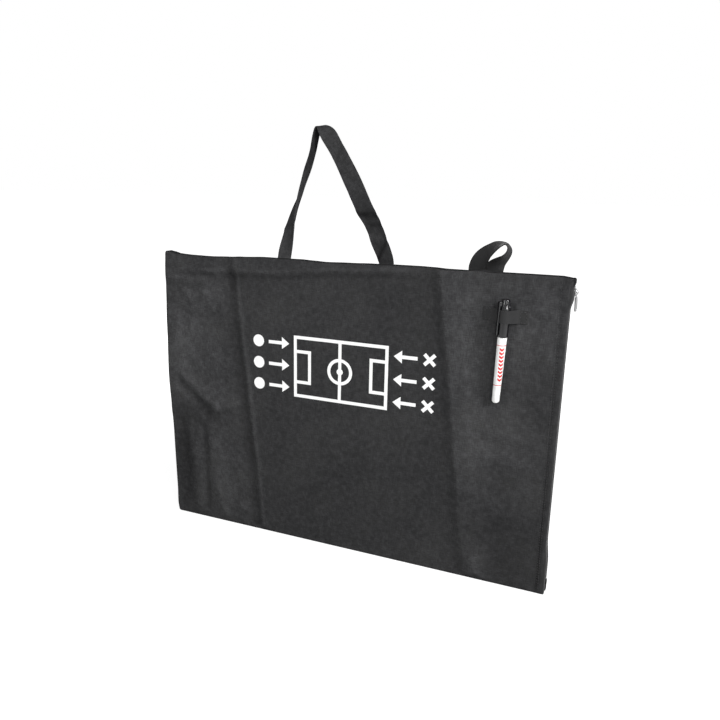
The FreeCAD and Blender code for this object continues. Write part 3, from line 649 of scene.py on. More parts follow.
def bagCloth(name="bagCloth", printed=True, tone=0.038):
    material, tree, shader = newMaterial(name)
    place, flat = placeOf(tree), clothMap(tree)
    weave = placeGroup(tree, groups["weave"], Vector=flat, Pitch=0.62)
    rubbed = placeGroup(tree, groups["handling"], Vector=place, Patch=85.0, Amount=0.55)["Mask"]
    dusted = placeGroup(tree, groups["handling"], Vector=place, Patch=8.0, Amount=0.5)["Mask"]
    slubs = [
        placeGroup(tree, groups["scuffs"], Vector=turned, Length=9.0, Width=0.7)["Mask"]
        for turned in (flat, swapAxes(tree, flat))
    ]
    base = blendColours(tree, rubbed, grey(tone * 0.8, 1.04), grey(tone * 1.24, 1.0))
    base = blendColours(tree, dusted, base, grey(tone * 1.5, 1.04))
    thick = calc(tree, "MULTIPLY", calc(tree, "ADD", *slubs), 0.5)    # thicker and thinner threads both ways
    base = blendColours(tree, remap(tree, thick, 0.36, 0.64), shade(base, tree, 0.76), shade(base, tree, 1.2))
    # painted shade in the gaps between threads
    base = blendColours(tree, calc(tree, "MULTIPLY", weave["Gap"], 0.45), base, grey(tone * 0.35))
    relief, paintedLightShadeShare = pointMark(tree, "relief"), pointMark(tree, "fade")
    for start, full, amount in ((0.02, 0.9, 1.3), (-0.02, -0.9, 0.74)):    # ridges lighter, part wear and part painted light, then valleys darker as painted shade
        base = blendColours(tree, remap(tree, relief, start, full), base, shade(base, tree, amount))
    # painted light and shade that each point carries
    base = shade(base, tree, calc(tree, "ADD", paintedLightShadeShare, 1.0))
    rough = calc(tree, "MULTIPLY_ADD", rubbed, 0.12, 0.5)
    height = weave["Height"]
    if printed:
        ink = bagPrintInk(tree, place)
        worn = remap(tree, speckle(tree, place, 900.0, 2.0), 0.3, 0.42)
        ink = calc(tree, "MULTIPLY", ink, calc(tree, "MULTIPLY_ADD", worn, 0.08, 0.92))
        base = blendColours(tree, ink, base, grey(0.93, 0.995))
        rough = calc(tree, "MULTIPLY_ADD", ink, 0.05, rough)
        height = calc(tree, "MULTIPLY", height, calc(tree, "MULTIPLY_ADD", ink, -0.5, 1.0))
    wire(tree, shader, {"Base Color": base, "Roughness": rough, "Specular IOR Level": 0.0})    # no shine
    bumpFrom(tree, shader, height, 0.12, 0.5)
    return material


def webbing(name, tone, rib, thread, sheen, deep):
    material, tree, shader = newMaterial(name)
    place, flat = placeOf(tree), clothMap(tree)
    ribs = placeGroup(tree, groups["ribs"], Vector=flat, Rib=rib, Thread=thread)
    rubbed = placeGroup(tree, groups["handling"], Vector=place, Patch=18.0, Amount=0.5)["Mask"]
    base = blendColours(tree, rubbed, grey(tone, 1.04), grey(tone * 1.5))
    # painted shade in the grooves between ribs
    base = blendColours(tree, calc(tree, "MULTIPLY", ribs["Groove"], 0.7), base, grey(tone * 0.35))
    wire(tree, shader, {
        "Base Color": base, "Roughness": calc(tree, "MULTIPLY_ADD", rubbed, 0.1, 0.6),
        "Specular IOR Level": 0.15, "Sheen Weight": sheen, "Sheen Roughness": 0.45,
    })
    bumpFrom(tree, shader, ribs["Height"], deep, 0.7)
    return material


def plastic(name, colour, rough, mark=0.08):
    material, tree, shader = newMaterial(name)
    place = placeOf(tree)
    scuffs = placeGroup(tree, groups["scuffs"], Vector=place, Length=14.0, Width=0.35)["Mask"]
    rubbed = placeGroup(tree, groups["handling"], Vector=place, Patch=9.0, Amount=1.0)["Mask"]
    lighter = [min(1.0, part * 1.25 + 0.004) for part in colour[:3]] + [1]
    base = blendColours(tree, calc(tree, "MULTIPLY", rubbed, 0.35), colour, lighter)
    marks = calc(tree, "MULTIPLY_ADD", remap(tree, scuffs, 0.55, 0.75), mark, rough)
    wire(tree, shader, {"Base Color": base, "Roughness": calc(tree, "MULTIPLY_ADD", rubbed, mark, marks)})
    bumpFrom(tree, shader, scuffs, 0.01, 0.4)
    return material, tree, shader, base


def glossBlack():
    material, _, shader, _ = plastic("capPlastic", (0.006, 0.006, 0.007, 1), 0.1, 0.04)
    shader.inputs["Specular IOR Level"].default_value = 0.4
    return material


def metal(name, tone, rough, brush=(40.0, 0.12)):
    material, tree, shader = newMaterial(name)
    place = placeOf(tree)
    scuffs = placeGroup(tree, groups["scuffs"], Vector=place, Length=brush[0], Width=brush[1])["Mask"]
    rubbed = placeGroup(tree, groups["handling"], Vector=place, Patch=12.0, Amount=1.0)["Mask"]
    base = blendColours(tree, calc(tree, "MULTIPLY", rubbed, 0.5), grey(tone, 1.01), grey(tone * 0.86, 1.0))
    rough = calc(tree, "MULTIPLY_ADD", scuffs, 0.18, rough)
    wire(tree, shader, {"Base Color": base, "Roughness": rough, "Metallic": 1.0})
    bumpFrom(tree, shader, scuffs, 0.01, 0.35)
    return material


barrelPrint = {
    "facing": (0.45, -0.893), "rows": (298.0, 338.0, 5.0), "mark": (2.9, 1.5), "slope": 0.7,
    "bands": (291.5, 344.0), "band": 0.9, "red": (0.60, 0.03, 0.03, 1),
}


def barrelPlastic():    # white, with a column of plain red chevrons between two thin bands
    material, tree, shader, base = plastic("barrelPlastic", (0.84, 0.84, 0.83, 1), 0.22)
    axes = splitVector(tree, placeOf(tree))
    middle = middleOf("marker_barrel")
    x, y = shifted(tree, axes[0], middle.x), shifted(tree, axes[1], middle.y)
    faceX, faceY = barrelPrint["facing"]
    beside = calc(tree, "MULTIPLY_ADD", x, -faceY, calc(tree, "MULTIPLY", y, faceX))
    toFront = calc(tree, "MULTIPLY_ADD", x, faceX, calc(tree, "MULTIPLY", y, faceY))
    facing = calc(tree, "GREATER_THAN", toFront, 0.0)
    start, end, gap = barrelPrint["rows"]
    up = shifted(tree, axes[2], start)
    up = calc(tree, "MULTIPLY_ADD", calc(tree, "ABSOLUTE", beside), -barrelPrint["slope"], up)
    step = calc(tree, "ROUND", calc(tree, "DIVIDE", up, gap * mm))
    step = calc(tree, "MINIMUM", calc(tree, "MAXIMUM", step, 0.0), (end - start) / gap)
    inStep = calc(tree, "MULTIPLY_ADD", step, -gap * mm, up)
    halfWide, halfHigh = barrelPrint["mark"]
    chevrons = printMark(tree, "bar", beside, inStep, HalfWidth=halfWide, HalfHeight=halfHigh)
    bands = [
        printMark(tree, "bar", 0.0, shifted(tree, axes[2], level),
                  HalfWidth=1.0, HalfHeight=barrelPrint["band"] / 2)
        for level in barrelPrint["bands"]
    ]
    ink = mostOf(tree, [calc(tree, "MULTIPLY", chevrons, facing)] + bands)
    tree.links.new(blendColours(tree, ink, base, barrelPrint["red"]), shader.inputs["Base Color"])
    return material


boardPrint = {
    "width": 520.0, "height": 350.0, "stroke": 2.0, "circle": 48.0, "goalDeep": 78.0, "goalHigh": 196.0,
    "wiped": (0.5, 0.52, 0.6, 1), "green": (0.02, 0.16, 0.09, 1),
}


def boardWhite():    # gloss white that wipes clean, with the lines of a plain pitch and faint wiped ink
    material, tree, shader, base = plastic("boardWhite", (0.70, 0.71, 0.72, 1), 0.12, 0.06)
    place = placeOf(tree)
    axes = splitVector(tree, place)
    middle = middleOf("board_face")
    across, up = shifted(tree, axes[0], middle.x), shifted(tree, axes[2], middle.z)
    reach = (boardPrint["width"] + boardPrint["stroke"]) / 2 * mm
    inside = calc(tree, "LESS_THAN", calc(tree, "ABSOLUTE", across), reach)
    ink = calc(tree, "MULTIPLY", mostOf(tree, pitchLines(tree, across, up, boardPrint)), inside)
    wiped = placeGroup(tree, groups["scuffs"], Vector=place, Length=70.0, Width=5.0)["Mask"]
    faint = calc(tree, "MULTIPLY", remap(tree, wiped, 0.56, 0.8), 0.12)
    smear = blendColours(tree, faint, base, boardPrint["wiped"])
    printed = blendColours(tree, ink, smear, boardPrint["green"])
    wire(tree, shader, {"Base Color": printed, "Coat Weight": 0.3})
    return material


def makeMaterials():
    return {
        "cloth": bagCloth(),
        "plainCloth": bagCloth("tabCloth", printed=False, tone=0.02),
        "lining": bagCloth("bagLining", printed=False, tone=0.028),
        "strap": bagCloth("strapCloth", printed=False, tone=0.037),
        "loop": webbing("loopWebbing", 0.0122, 1.5, 0.9, 0.02, 0.3),
        "elastic": webbing("penElastic", 0.022, 1.5, 0.7, 0.05, 0.25),
        "tape": webbing("zipTape", 0.022, 0.8, 0.5, 0.1, 0.15),
        "thread": webbing("sewingThread", 0.03, 0.3, 0.3, 0.2, 0.05),
        "teeth": plastic("zipTeeth", (0.016, 0.016, 0.017, 1), 0.35)[0],
        "chrome": metal("zipChrome", 0.34, 0.2, (6.0, 0.08)),
        "cap": glossBlack(),
        "liner": plastic("linerPlastic", (0.62, 0.62, 0.6, 1), 0.5)[0],
        "barrel": barrelPlastic(),
        "plug": plastic("plugPlastic", (0.84, 0.84, 0.82, 1), 0.24)[0],
        "felt": webbing("nibFelt", 0.02, 0.3, 0.3, 0.3, 0.1),
        "board": boardWhite(),
        "core": plastic("coreFoam", (0.7, 0.7, 0.67, 1), 0.8)[0],
        "frame": metal("frameSatin", 0.38, 0.3),
        "corner": plastic("cornerPlastic", (0.022, 0.022, 0.024, 1), 0.42)[0],
        "rivet": metal("rivetSatin", 0.7, 0.22, (2.0, 0.1)),
    }


# Bag: one shell of cloth lofted along X, closed at its left end and open at the zip

bag = {
    "halfWidth": 300.0, "halfDepth": 9.0, "height": 433.0, "cloth": 0.8, "round": 3.0, "leastRound": 0.3,
    "columnStep": 4.6, "rowStep": 4.6, "nearest": 0.6, "gussetSteps": 4, "roundSteps": 3, "faceDeep": 2.0,
    "creaseColumns": (-155.0, 160.0), "foldRow": 412.0, "extraRows": [12.0, 422.0],
    "besideHem": (-3, -1.5, 0, 1.5, 3), "besideZip": (-1.2, -4),
    "zipRoll": [(0.0, 0.9), (-0.25, 0.35)],    # the rolled edge at the zip: distance across it, inset
    "besideCrease": (-18, -14, -11, -8.5, -6, -4, -2, -0.8, 0, 0.8, 1.8, 3, 5, 8, 12),
    "besideFold": (-12, -9, -6.5, -4.5, -3, -1.6, -0.6, 0.6, 2, 4, 7, 11),
    # heights and places of the creases, folds and edges, as the cloth lies
    "leftCrease": [(0, -134.5), (119, -145), (216, -155), (330, -168), (406, -175), (433, -178)],
    "rightCrease": [(0, 190), (56, 181), (146, 170), (232, 159), (301, 151), (394, 138), (433, 132)],
    "topFold": [(-300, 404), (-269, 406), (-140, 410), (0, 421), (67, 425), (300, 429)],
    "topEdge": [
        (-304, 434.5), (-294, 433), (-284, 431), (-262, 430.6), (-230, 430.3), (-197, 431.4), (-176, 432.6),
        (-135, 434.3), (-76, 434.4), (-57, 433.5), (-38, 432.7), (-2, 433.6), (34, 434.6), (69, 435.2),
        (103, 435.4), (120, 435), (140, 434), (166, 434), (176, 435.5), (188, 435.5), (196, 434),
        (259, 434.3), (284, 434.2), (293, 433.2), (300, 431),
    ],
    "rightEdge": [(0, -1.5), (16, -3), (340, -3.2), (366, -3.4), (388, -4), (410, -4), (424, -2.5), (433, 0)],
    "leftOut": 4.0, "cornerFrom": -4.0, "cornerPull": 18.0, "leftBow": 3.0, "leftEdgeReach": 42.0,
    "wrinkleShare": 1.8, "wrinkleWidth": 1.35, "wrinkleReach": 2.5, "wrinkleRun": 0.25, "wrinkleSoft": 0.45,
    # the cloth is loose at the sides and pulled flat in the middle
    "looseness": 1.8, "pulledFlat": 0.8, "flatFrom": -20.0, "looseRight": 0.45, "looseOver": 30.0,
    "creaseCrumple": (0.25, 60, 4.1), "creaseEven": 0.75, "creaseSeed": 3, "broadCrumple": (0.8, 46, 1.7),
    "longCrumple": (0.25, 120, 9.2), "fineCrumple": (0.12, 11, 2.9), "pucker": (0.5, 30, 6.3),
    "puckerLevel": 0.35, "squeeze": 0.8, "footFlat": 12.0, "reliefStep": 7.0,
    "mostIn": -3.0, "mostOut": 6.0, "topIn": (1.6, 404.0, 6.0),    # further in at the top: depth, start, run
    # outward swell beside each crease: distance across it, height
    "leftSwell": [(-70, 0.6), (-34, 1.4), (-12, -2.2), (0, 0.7), (3.5, -0.1), (40, 0.0)],
    "rightSwell": [(-60, 0.0), (-30, -0.6), (-14, -0.7), (4, 2.0), (16, 1.9), (60, 0.7), (130, -0.4)],
    "foldSwell": [(-34, 0.0), (-6, -1.5), (4, 1.1), (8, 0.6), (32, -4.2)],
    "leftEdge": [
        (0, -1.5), (60, -3.0), (140, -2.6), (190, -0.6), (240, 1.3), (330, 1.6), (390, 0.4), (433, 0.0),
    ],
    "foldReach": [(-296, 0.2), (-262, 1.0), (40, 1.0), (140, 0.25), (300, 0.15)],
    # the hem's, the seam's and the top's darkening shares are painted shade
    "hemFrom": 11.0, "hemRaise": 0.45, "hemRun": 1.6, "hemSoft": 8.0, "hemPaintedShade": (0.12, 3.0),
    "seam": (0.35, 1.2), "seamPaintedShade": (0.3, 1.8), "topSag": 3.4, "slackReach": 40.0, "topPaintedShade": -0.3,
    # painted light and shade beside each crease, lighter where the cloth would catch the light and darker in
    # its shade: distance across it, share
    "leftPaintedLightShade": [
        (-80, 0.0), (-48, 0.14), (-30, 0.06), (-18, -0.1), (-5, -0.12), (-1, 0.05), (2.5, 0.16), (9, 0.0),
    ],
    "rightPaintedLightShade": [(-70, 0.0), (-18, -0.1), (-6, -0.12), (4, 0.34), (22, 0.5), (60, 0.22), (120, 0.08)],
    "leftPaintedLightShadeUp": [(0, 0.3), (70, 0.6), (160, 1.0), (330, 1.0), (400, 0.6), (433, 0.2)],
    "rightPaintedLightShadeUp": [(0, 0.1), (90, 0.3), (190, 0.8), (350, 1.0), (410, 0.9), (433, 0.5)],
}

# Wrinkles pressed into the front: start, end, height outward, half width
wrinkles = [
    ((-300, 397), (-232, 396), 1.5, 5.0),
    ((-270, 386), (-246, 348), 1.5, 7.0),
    ((-232, 380), (-214, 352), 1.1, 8.0),
    ((-255, 330), (-248, 262), 1.3, 11.0),
    ((-282, 330), (-276, 246), 1.4, 10.0),
    ((-228, 316), (-216, 250), 0.9, 12.0),
    ((-286, 232), (-226, 176), -1.9, 7.5),
    ((-280, 244), (-214, 196), 1.4, 8.0),
    ((-222, 196), (-174, 210), 1.1, 8.0),
    ((-241, 162), (-239, 18), -1.7, 5.0),
    ((-266, 168), (-254, 8), 1.3, 8.0),
    ((-292, 160), (-286, 20), -1.6, 12.0),
    ((-226, 140), (-206, 92), 1.2, 12.0),
    ((-222, 82), (-204, 14), 1.3, 7.0),
    ((-190, 120), (-164, 70), 0.9, 12.0),
    ((-180, 40), (-148, 26), 0.9, 7.0),
    ((-200, 372), (-184, 300), 0.8, 9.0),
    ((-120, 388), (20, 372), 0.5, 16.0),
    ((-118, 352), (-10, 340), -0.4, 12.0),
    ((-60, 120), (60, 150), 0.4, 30.0),
    ((30, 130), (36, 104), 0.3, 4.0),
    ((182, 234), (272, 216), 0.7, 8.0),
    ((196, 214), (270, 198), -0.6, 7.0),
    ((186, 190), (268, 182), 0.7, 7.0),
    ((196, 160), (268, 152), 0.7, 8.0),
    ((204, 120), (262, 96), 0.7, 12.0),
    ((240, 410), (286, 384), 1.0, 12.0),
    ((246, 368), (286, 332), 0.9, 11.0),
    ((152, 404), (196, 384), 0.6, 10.0),
    ((198, 40), (214, 2), 1.2, 9.0),
    ((178, 306), (200, 262), 0.7, 10.0),
    ((262, 300), (284, 250), 0.6, 10.0),
]
# Painted light and shade on the front, patches lighter or darker as the wrinkled cloth would be lit: middle,
# reach across and up, share lighter or darker
paintedLightShadeTable = [
    ((-270, 292), (40, 78), 0.62), ((-214, 376), (36, 22), 0.24), ((-222, 250), (26, 40), 0.2),
    ((-222, 110), (22, 60), 0.34), ((-196, 60), (20, 50), 0.2), ((-284, 80), (26, 84), -0.24),
    ((-262, 186), (34, 16), -0.2), ((-238, 170), (26, 12), -0.16), ((-214, 214), (26, 12), 0.2),
    ((256, 372), (40, 50), 0.34), ((276, 290), (16, 60), -0.1), ((238, 204), (40, 22), 0.16),
    ((250, 130), (34, 16), 0.06), ((236, 160), (40, 10), -0.18), ((240, 70), (50, 60), -0.24),
    ((0, 90), (150, 90), -0.06), ((-60, 356), (90, 26), 0.1), ((-176, 395), (16, 20), -0.2),
    ((204, 22), (16, 26), 0.3), ((40, 396), (60, 20), -0.08), ((262, 30), (24, 30), -0.12),
]
# The cloth lies flat behind the marker
markerRest = {"middle": (219.0, 345.0), "reach": (46.0, 100.0), "edge": 1.15, "soft": 0.4}


def quarterTurns(count):    # angles from nothing to a quarter turn
    return [quarterTurn * step / count for step in range(count + 1)]


def marksBetween(low, high, step, fine):    # even steps, with chosen finer ones in their place
    count = round((high - low) / step)
    even = [low + (high - low) * index / count for index in range(count + 1)]
    kept = [at for at in even if all(abs(at - near) > step * bag["nearest"] for near in fine)]
    return sorted(set(kept + [at for at in fine if low <= at <= high] + [low, high]))


def bagPlace(across, up):    # nominal column and row to the place where the cloth lies
    width, height = bag["halfWidth"], bag["height"]
    bow = math.sin(math.pi * min(max(up / height, 0), 1))
    out = bag["leftOut"] * ease((up - bag["cornerFrom"]) / bag["cornerPull"]) + bag["leftBow"] * bow
    leftColumn, rightColumn = bag["creaseColumns"]
    x = readAlong([
        (-width, -width - out),
        (leftColumn, readAlong(bag["leftCrease"], up)),
        (rightColumn, readAlong(bag["rightCrease"], up)),
        (width, width + readAlong(bag["rightEdge"], up, True)),
    ], across)
    fold, top = (readAlong(bag[line], x, True) for line in ("topFold", "topEdge"))
    return x, readAlong([(0, 0.0), (bag["foldRow"], fold), (height, top)], up)


def wrinkleHeight(x, z):
    total = 0.0
    reach, run, soft = bag["wrinkleReach"], bag["wrinkleRun"], bag["wrinkleSoft"]
    for (startX, startZ), (endX, endZ), height, narrow in wrinkles:
        width = narrow * bag["wrinkleWidth"]
        near = reach * width
        if not min(startX, endX) - near < x < max(startX, endX) + near:
            continue
        if not min(startZ, endZ) - near < z < max(startZ, endZ) + near:
            continue
        runX, runZ = endX - startX, endZ - startZ
        share = ((x - startX) * runX + (z - startZ) * runZ) / (runX * runX + runZ * runZ)
        kept = min(max(share, 0.0), 1.0)
        away = math.hypot(x - startX - runX * kept, z - startZ - runZ * kept) / width
        if away < reach:
            taper = ease((share + run) / soft) * ease((1 + run - share) / soft)
            total += height * math.exp(-away * away) * taper
    return total * bag["wrinkleShare"]


def pucker(kind, x, z):    # narrow valleys between flatter patches
    return kind[0] * bag["puckerLevel"] - abs(crumple(kind, x, z))


def frontSwell(x, z):    # how far the front stands out from its flat plane
    left = x - readAlong(bag["leftCrease"], z)
    right = x - readAlong(bag["rightCrease"], z)
    fold = z - readAlong(bag["topFold"], x, True)
    uneven = bag["creaseEven"] + crumple(bag["creaseCrumple"], bag["creaseSeed"], z)
    swell = readAlong(bag["leftSwell"], left, True) * uneven
    swell += readAlong(bag["rightSwell"], right, True)
    swell += readAlong(bag["foldSwell"], fold, True) * readAlong(bag["foldReach"], x, True)
    swell += wrinkleHeight(x, z)
    flat = bag["pulledFlat"] * ease((left - bag["flatFrom"]) / bag["looseOver"])
    loose = bag["looseness"] * (1.0 - flat + bag["looseRight"] * ease(right / bag["looseOver"]))
    swell += loose * (crumple(bag["broadCrumple"], x, z * bag["squeeze"]) + pucker(bag["pucker"], x, z))
    swell += crumple(bag["longCrumple"], x, z) + loose * crumple(bag["fineCrumple"], x, z)
    restX, restZ = (
        (at - middle) / reach for at, middle, reach in zip((x, z), markerRest["middle"], markerRest["reach"])
    )
    swell *= 1 - ease((markerRest["edge"] - math.hypot(restX, restZ)) / markerRest["soft"])
    past, soft = x - bag["halfWidth"] + bag["hemFrom"], bag["hemSoft"]
    if past > -soft:    # near the hem and on it
        seamDeep, seamWide = bag["seam"]
        swell *= 1 - ease((past + soft) / soft)
        swell += bag["hemRaise"] * ease(past / bag["hemRun"]) - seamDeep * math.exp(-(past / seamWide) ** 2)
    atEdge = 1 - ease((x + bag["halfWidth"]) / bag["leftEdgeReach"])
    swell += readAlong(bag["leftEdge"], z, True) * atEdge
    swell *= ease(z / bag["footFlat"])
    deep, start, run = bag["topIn"]
    return min(max(swell, bag["mostIn"] - deep * ease((z - start) / run)), bag["mostOut"])


def frontPaintedLightShade(x, z):    # how much lighter or darker the front is painted, as painted light and shade
    left = x - readAlong(bag["leftCrease"], z)
    right = x - readAlong(bag["rightCrease"], z)
    past = x - bag["halfWidth"] + bag["hemFrom"]
    tone = readAlong(bag["leftPaintedLightShade"], left, True) * readAlong(bag["leftPaintedLightShadeUp"], z, True)
    tone += readAlong(bag["rightPaintedLightShade"], right, True) * readAlong(bag["rightPaintedLightShadeUp"], z, True)
    (seamDark, seamWide), (hemDark, hemRun) = bag["seamPaintedShade"], bag["hemPaintedShade"]
    tone -= seamDark * math.exp(-(past / seamWide) ** 2) + hemDark * ease(past / hemRun)
    return tone + sum(
        amount * math.exp(-((x - middle[0]) / reach[0]) ** 2 - ((z - middle[1]) / reach[1]) ** 2)
        for middle, reach, amount in paintedLightShadeTable
    )


def frontRelief(x, z):    # the swell here against the swell around it
    step = bag["reliefStep"]
    around = [(step, 0), (-step, 0), (0, step), (0, -step)]
    return frontSwell(x, z) - sum(frontSwell(x + dx, z + dz) for dx, dz in around) / 4


backCloth = {
    "creases": [(-150, 0.05, 0.8), (148, -0.05, -0.8)], "creaseWide": 5,    # foot, slope, height outward
    "crumple": (0.9, 70, 12.4), "pucker": (0.5, 44, 15.2), "edgeFlat": 14, "mostIn": -1.6, "mostOut": 0.9,
    "sewnFrom": 372, "sewnRun": 20,    # flat where the straps are sewn
}


def backSwell(x, z):
    swell = crumple(backCloth["crumple"], x, z * bag["squeeze"]) + pucker(backCloth["pucker"], x, z)
    for foot, slope, height in backCloth["creases"]:
        swell += height * math.exp(-((x - foot - slope * z) / backCloth["creaseWide"]) ** 2)
    away = min(x + bag["halfWidth"], z, bag["halfWidth"] - x)
    swell *= ease(away / backCloth["edgeFlat"])
    swell *= 1 - ease((z - backCloth["sewnFrom"]) / backCloth["sewnRun"])
    return min(max(swell, backCloth["mostIn"]), backCloth["mostOut"])


def ringOutline(inset):    # rounded section of the bag in Y and nominal Z, front row first, upwards
    deep = bag["halfDepth"] - inset
    low, high = inset, bag["height"] - inset
    start, end = bag["round"], bag["height"] - bag["round"]
    radius = max(start - inset, bag["leastRound"])
    fine = [bag["foldRow"] + off for off in bag["besideFold"]] + bag["extraRows"]
    shares = [(row - start) / (end - start) for row in marksBetween(start, end, bag["rowStep"], fine)]
    rows = [low + radius + share * (high - low - 2 * radius) for share in shares]
    turns, steps = quarterTurns(bag["roundSteps"] + 1)[1:-1], bag["gussetSteps"]
    front = [(-deep, row) for row in rows]
    top = [
        (-deep + radius - radius * math.cos(turn), high - radius + radius * math.sin(turn)) for turn in turns
    ]
    top += [(-deep + radius + 2 * (deep - radius) * step / steps, high) for step in range(steps + 1)]
    top += [(-y, z) for y, z in reversed(top[:len(turns)])]
    back = [(deep, row) for row in reversed(rows)]
    bottom = [(-y, low + high - z) for y, z in top]
    return front + top + back + bottom, len(front), len(top)


def bagRing(across, inset):    # one column round the bag: places, flat places, relief and painted light and shade
    half, deep, reach = bag["halfWidth"], bag["halfDepth"], bag["slackReach"]
    points, flats, reliefs, paintedLightShadeShare = [], [], [], []
    outline, _, _ = ringOutline(inset)
    run = 0.0
    for index, (y, up) in enumerate(outline):
        x, z = bagPlace(across, up)
        share = (y + deep) / (2 * deep)
        out = -frontSwell(x, z) * (1 - share) + backSwell(x, z) * share
        slack = ease((x + half) / reach) * ease((half - x) / reach)    # the top hangs slack
        sag = bag["topSag"] * slack * math.sin(math.pi * share) if up > bag["height"] / 2 else 0.0
        points.append((x, y + out, z - sag))
        flats.append((across * mm, run * mm))
        inFront, atTop = y < bag["faceDeep"] - deep, up > bag["height"] - bag["faceDeep"]
        reliefs.append(frontRelief(x, z) if inFront else 0.0)
        # the front carries painted light and shade, the top painted shade
        paintedLightShadeShare.append(frontPaintedLightShade(x, z) if inFront else bag["topPaintedShade"] * atTop)
        after = outline[(index + 1) % len(outline)]
        run += math.hypot(after[0] - y, after[1] - up)
    flats.append((across * mm, run * mm))
    return points, flats, reliefs, paintedLightShadeShare


# A sheet through rows of points, with its flat map
def clothGrid(name, rows, flats, closed=False, extra=()):
    count = len(rows[0])
    points = [point for row in rows for point in row]
    faces, corners = [], []
    for i in range(len(rows) - 1):
        for j in range(count if closed else count - 1):
            k = (j + 1) % count
            faces.append((i * count + j, (i + 1) * count + j, (i + 1) * count + k, i * count + k))
            corners += [flats[i][j], flats[i + 1][j], flats[i + 1][j + 1], flats[i][j + 1]]
    for face in extra:
        faces.append(face)
        corners += [(points[index][1] * mm, points[index][2] * mm) for index in face]
    piece = newPiece(name, points, faces)
    layer = piece.data.uv_layers.new(name="cloth")
    for spot, flat in zip(layer.data, corners):
        spot.uv = flat
    return piece


def markPoints(piece, name, values):    # one number for each point, for its material to read
    layer = piece.data.attributes.new(name, "FLOAT", "POINT")
    layer.data.foreach_set("value", values)


def makeBag(finish):
    radius, half = bag["round"], bag["halfWidth"]
    fine = [line + off for line in bag["creaseColumns"] for off in bag["besideCrease"]]
    fine += [half - bag["hemFrom"] + off for off in bag["besideHem"]]
    fine += [half + off for off in bag["besideZip"]]
    columns = marksBetween(radius - half, half + bag["besideZip"][0], bag["columnStep"], fine)
    stations = [(half + off, inset) for off, inset in bag["zipRoll"]]
    stations += [(at, 0.0) for at in reversed(columns)]
    for turn in quarterTurns(bag["roundSteps"] + 1)[1:]:
        stations.append((-half + radius * (1 - math.sin(turn)), radius * (1 - math.cos(turn))))
    rings = [bagRing(across, inset) for across, inset in stations]
    _, rowCount, topCount = ringOutline(0.0)
    ringCount = len(rings[0][0])
    first = (len(rings) - 1) * ringCount
    backStart = first + rowCount + topCount
    cap = []
    for row in range(rowCount - 1):    # left end: quads from front to back
        over = backStart + rowCount - 1 - row
        cap.append((first + row, over, over - 1, first + row + 1))
    cap.append(tuple(first + rowCount - 1 + step for step in range(topCount + 2)))
    cap.append((first,) + tuple(reversed(range(backStart + rowCount - 1, first + ringCount))))
    shell = clothGrid("bagShell", [ring[0] for ring in rings], [ring[1] for ring in rings], True, cap)
    # relief drives the cloth's painted light and shade on ridges and valleys; the other mark is painted light
    # and shade
    markPoints(shell, "relief", [value for ring in rings for value in ring[2]])
    markPoints(shell, "fade", [value for ring in rings for value in ring[3]])
    editAll(shell)
    bpy.ops.mesh.normals_make_consistent(inside=False)
    leaveEdit()
    shell.data.materials.append(finish["cloth"])
    shell.data.materials.append(finish["lining"])
    useModifier(
        shell, "SOLIDIFY", thickness=bag["cloth"] * mm, offset=-1, material_offset=1, use_even_offset=False,
    )
    smoothFaces(shell, 60)
    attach(shell, "bag")
    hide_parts("front_panel", "back_panel", "bottom_gusset", "top_gusset", "left_gusset")
    print("bag shell:", len(shell.data.polygons), "faces")


# Carry strap and hang loop, each one strip from sewn end to sewn end.
# A station: share of the span, share of the rise, share of a quarter turn, share of the width

carryStrap = {
    "name": "carryStrap", "body": "strap", "slot": "strap_webbing", "nodes": ("carry_strap", "strap_sewn_ends"),
    "width": 23.5, "thick": 1.6, "left": -106.85, "span": 157.7, "rise": 178.0, "fold": (11.6, 434.1),
    "sewnY": 9.85, "sewnLow": 391.0, "sewnShare": 0.93, "across": 12, "samples": 190,
    "shares": [
        (0.0, 0.0, 0.0, 0.92), (0.010, 0.05, -0.04, 0.94), (0.050, 0.172, -0.26, 1.0),
        (0.108, 0.36, -0.56, 1.0), (0.165, 0.50, -0.77, 1.0), (0.234, 0.665, -0.96, 1.0),
        (0.286, 0.81, -0.94, 1.0), (0.322, 0.955, -0.96, 1.0), (0.352, 1.008, -0.93, 1.0),
        (0.408, 0.975, -0.58, 1.0), (0.474, 0.895, -0.12, 0.94), (0.553, 0.785, 0.0, 0.98),
        (0.667, 0.605, 0.0, 1.08), (0.787, 0.400, 0.02, 1.08), (0.858, 0.303, 0.06, 1.06),
        (0.926, 0.165, 0.03, 1.05), (0.985, 0.05, 0.0, 0.96), (1.0, 0.0, 0.0, 0.92),
    ],
    # creases: start and end as share of the length and of the half width, depth, half width along the strip
    "creases": [
        ((0.743, 1.0), (0.780, -1.0), -1.8, 0.008), ((0.790, 0.3), (0.805, -1.0), -1.4, 0.007),
        ((0.815, 1.0), (0.835, -0.6), 1.2, 0.010), ((0.895, 0.9), (0.850, -1.0), -1.9, 0.007),
        ((0.56, -1.0), (0.585, 0.4), -0.8, 0.008), ((0.17, -1.0), (0.20, 0.8), -0.9, 0.008),
        ((0.68, 1.0), (0.69, -0.6), 0.6, 0.012),
    ],
    "edgeRaise": 0.0, "cup": [(0.10, 0.0), (0.18, 4.5), (0.27, 5.0), (0.34, 2.6), (0.44, 0.0)],
    # painted light and shade along the strip: share of its length, share lighter or darker
    "paintedLightShadeTable": [
        (0.0, 0.1), (0.10, 0.35), (0.24, 0.3), (0.30, 0.0), (0.36, -0.25), (0.46, -0.3), (0.50, 0.0),
        (0.56, 0.08), (0.70, 0.0), (0.76, -0.15), (1.0, -0.1),
    ],
}
